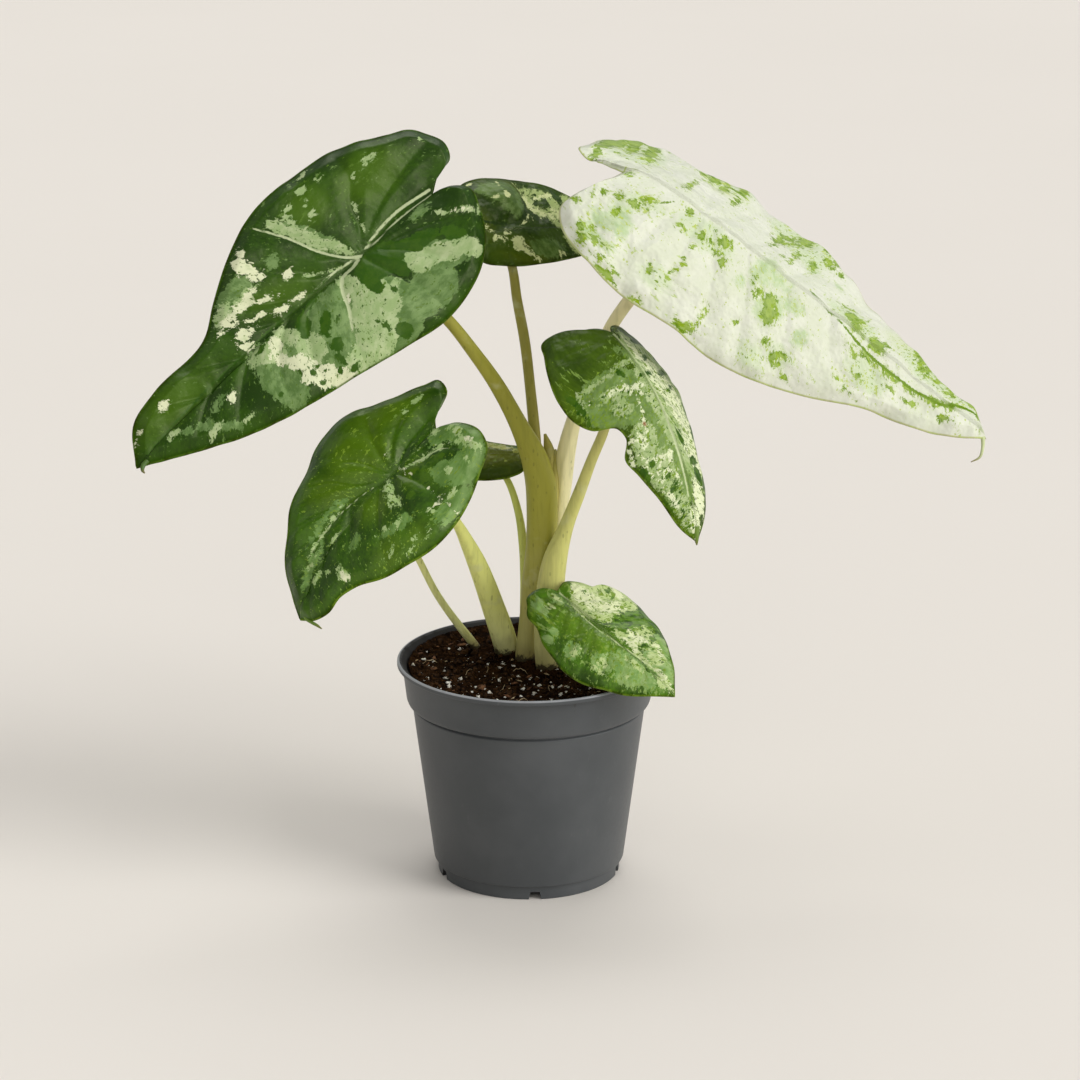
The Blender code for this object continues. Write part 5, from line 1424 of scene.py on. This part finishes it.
def small_ball():
    """Corners and faces of a small ball, to be roughened into grains."""
    work = bmesh.new()
    bmesh.ops.create_icosphere(work, subdivisions=GRAIN_DETAIL, radius=1.0)
    points = np.array([v.co[:] for v in work.verts])
    faces = [tuple(v.index for v in face.verts) for face in work.faces]
    work.free()
    return points, faces


def scatter(name, count, random, sizes, stretch, rough, material):
    """Uneven grains strewn over the soil, all in one piece."""
    ball, ball_faces = small_ball()
    points, faces = [], []
    made = 0
    while made < count:
        radius = (SOIL_RADIUS - 1.2) * math.sqrt(random.uniform(0, 1))
        turn = random.uniform(0, 2 * math.pi)
        x, y = radius * math.cos(turn), radius * math.sin(turn)
        size = sizes[0] + (sizes[1] - sizes[0]) * random.uniform(0, 1) ** 2
        if any(math.hypot(x - foot[0], y - foot[1]) < foot[3] + 0.3 * size for foot in STEM_FEET):
            continue
        seed = random.uniform(0, 99)
        shape = []
        for p in ball:
            coarse = noise.noise(Vector(p * 1.7) + Vector((seed, 0, 0)))
            fine = noise.noise(Vector(p * 4.0) + Vector((0, seed, 0)))
            shape.append(p * (1 + rough * coarse + 0.5 * rough * fine))
        shape = np.array(shape) * (np.array(stretch) * random.uniform(0.75, 1.25, 3) * size)
        spin, tip = random.uniform(0, 2 * math.pi), random.uniform(-0.5, 0.5)
        c, s = math.cos(tip), math.sin(tip)
        shape = shape @ np.array([[c, 0, s], [0, 1, 0], [-s, 0, c]])
        c, s = math.cos(spin), math.sin(spin)
        shape = shape @ np.array([[c, s, 0], [-s, c, 0], [0, 0, 1]])
        lift = soil_height(x, y) + size * stretch[2] * (1 - 2 * GRAIN_SINK)
        start = made * len(ball)
        points.append(shape + (x, y, lift))
        faces += [tuple(i + start for i in face) for face in ball_faces]
        made += 1
    stand_for(mesh_object(name, np.vstack(points), faces, material), None)


def build_soil():
    share = np.linspace(0, 1, SOIL_RINGS + 1)[1:] ** 0.8
    angles, spokes = circle(SOIL_SPOKES), SOIL_SPOKES
    points = [(0, 0, soil_height(0, 0))]
    for radius in share * (inner_radius(SOIL_TOP) - SOIL_GAP):
        ring = [(radius * math.cos(a), radius * math.sin(a)) for a in angles]
        points += [(x, y, soil_height(x, y)) for x, y in ring]
    skirt = inner_radius(SOIL_FLOOR) - SOIL_GAP
    points += [(skirt * math.cos(a), skirt * math.sin(a), SOIL_FLOOR) for a in angles]
    points.append((0, 0, SOIL_FLOOR))
    last = len(points) - 1
    steps = [(k, (k + 1) % spokes) for k in range(spokes)]
    faces = [(0, 1 + k, 1 + n) for k, n in steps]
    for ring in range(SOIL_RINGS):
        low, high = 1 + ring * spokes, 1 + (ring + 1) * spokes
        faces += [(low + k, high + k, high + n, low + n) for k, n in steps]
    faces += [(last, last - spokes + n, last - spokes + k) for k, n in steps]
    soil = outward(mesh_object("soil_surface", points, faces, soil_material()))
    stand_for(soil, "soil")
    random = np.random.RandomState(SOIL_SEED)
    for name, count, sizes, stretch, rough, looks in GRAINS:
        material = grain_material(*looks)
        scatter(name, count, random, sizes, stretch, rough, material)
    build_fibres(random, material)


def build_fibres(random, material):
    """Thin curved roots and fibres lying on the soil."""
    points, faces = [], []
    sides, rings = FIBRE_SIDES, FIBRE_RINGS
    up = np.array([0, 0, 1.0])
    for _ in range(FIBRE_COUNT):
        radius = 27 * math.sqrt(random.uniform(0.02, 1))
        turn = random.uniform(0, 2 * math.pi)
        x, y = radius * math.cos(turn), radius * math.sin(turn)
        heading, bend = random.uniform(0, 2 * math.pi), random.uniform(-0.12, 0.12)
        size, thick = random.uniform(2.5, 6.5), random.uniform(0.07, 0.14)
        faces += capped_tube_faces(len(points), rings, sides)
        for k in range(rings):
            share = k / (rings - 1)
            middle = np.array([x, y, soil_height(x, y) + 0.35 + 0.8 * math.sin(math.pi * share)])
            ring_radius = thick * (1 - 0.6 * share)
            across = np.array([-math.sin(heading), math.cos(heading), 0])
            for j in range(sides):
                a = 2 * math.pi * j / sides
                points.append(middle + ring_radius * (math.cos(a) * across + math.sin(a) * up))
            x, y = x + size / rings * math.cos(heading), y + size / rings * math.sin(heading)
            if math.hypot(x, y) > SOIL_RADIUS - 1.5:
                heading += 0.6
            heading += bend
    fibres = outward(mesh_object("soil_fibres", points, faces, material))
    stand_for(fibres, None)


def sun_light(name, towards, angle, strength):
    """A soft, even lamp that shines from the given direction; angle is how wide it looks."""
    data = bpy.data.lights.new(name, "SUN")
    data.angle, data.energy = math.radians(angle), strength
    lamp = link(bpy.data.objects.new(name, data))
    lamp.rotation_euler = Vector(towards).to_track_quat("Z", "Y").to_euler()


def build_floor():
    n = Nodes("studio_floor")
    place = n.place()
    color = n.mix(n.cloud(place, 3.0), *FLOOR_TONES)
    n.plug(n.shader.inputs["Base Color"], color)
    n.plug(n.shader.inputs["Roughness"], n.total(0.85, (n.cloud(place, 40.0), 0.1)))
    n.plug(n.shader.inputs["Specular IOR Level"], 0.1)
    mesh = bpy.data.meshes.new("studio_floor")
    corners = [(-1, -1), (1, -1), (1, 1), (-1, 1)]
    mesh.from_pydata([(x * FLOOR_SIZE + ORIGIN[0], y * FLOOR_SIZE + ORIGIN[1], POT_LO[2])
                      for x, y in corners], [], [(0, 1, 2, 3)])
    mesh.materials.append(n.material)
    link(bpy.data.objects.new("studio_floor", mesh))


def build_world():
    """Even light from all round, and the backdrop that the camera sees past the floor."""
    world = bpy.data.worlds.new("studio")
    world.use_nodes = True
    tree = world.node_tree
    background = tree.nodes["Background"]
    path = tree.nodes.new("ShaderNodeLightPath")
    seen = tree.nodes.new("ShaderNodeMath")
    seen.operation = "MAXIMUM"
    tree.links.new(path.outputs["Is Camera Ray"], seen.inputs[0])
    tree.links.new(path.outputs["Is Transmission Ray"], seen.inputs[1])
    mix = tree.nodes.new("ShaderNodeMix")
    mix.data_type = "RGBA"
    tree.links.new(seen.outputs[0], mix.inputs["Factor"])
    mix.inputs[6].default_value = SKY_LIGHT
    mix.inputs[7].default_value = BACKDROP
    tree.links.new(mix.outputs[2], background.inputs["Color"])
    background.inputs["Strength"].default_value = 1.0
    bpy.context.scene.world = world


def build_camera():
    data = bpy.data.cameras.new("camera")
    data.sensor_width = SENSOR
    data.lens = SENSOR * CAMERA_DISTANCE / MM / FRAME_WIDTH
    data.clip_start, data.clip_end = CAMERA_CLIP
    camera = link(bpy.data.objects.new("camera", data))
    tilt = math.radians(CAMERA_TILT)
    look = Vector((0, math.cos(tilt), -math.sin(tilt)))
    aim = Vector(CAMERA_AIM) * MM + Vector(ORIGIN)
    camera.location = aim - look * CAMERA_DISTANCE
    camera.rotation_euler = (math.radians(90) - tilt, 0, 0)
    bpy.context.scene.camera = camera


build_camera()
build_floor()
build_world()
for lamp in LAMPS:
    sun_light(*lamp)
bpy.context.scene.view_settings.view_transform = "Standard"
build_pot()
build_soil()
build_petioles()
build_blades()
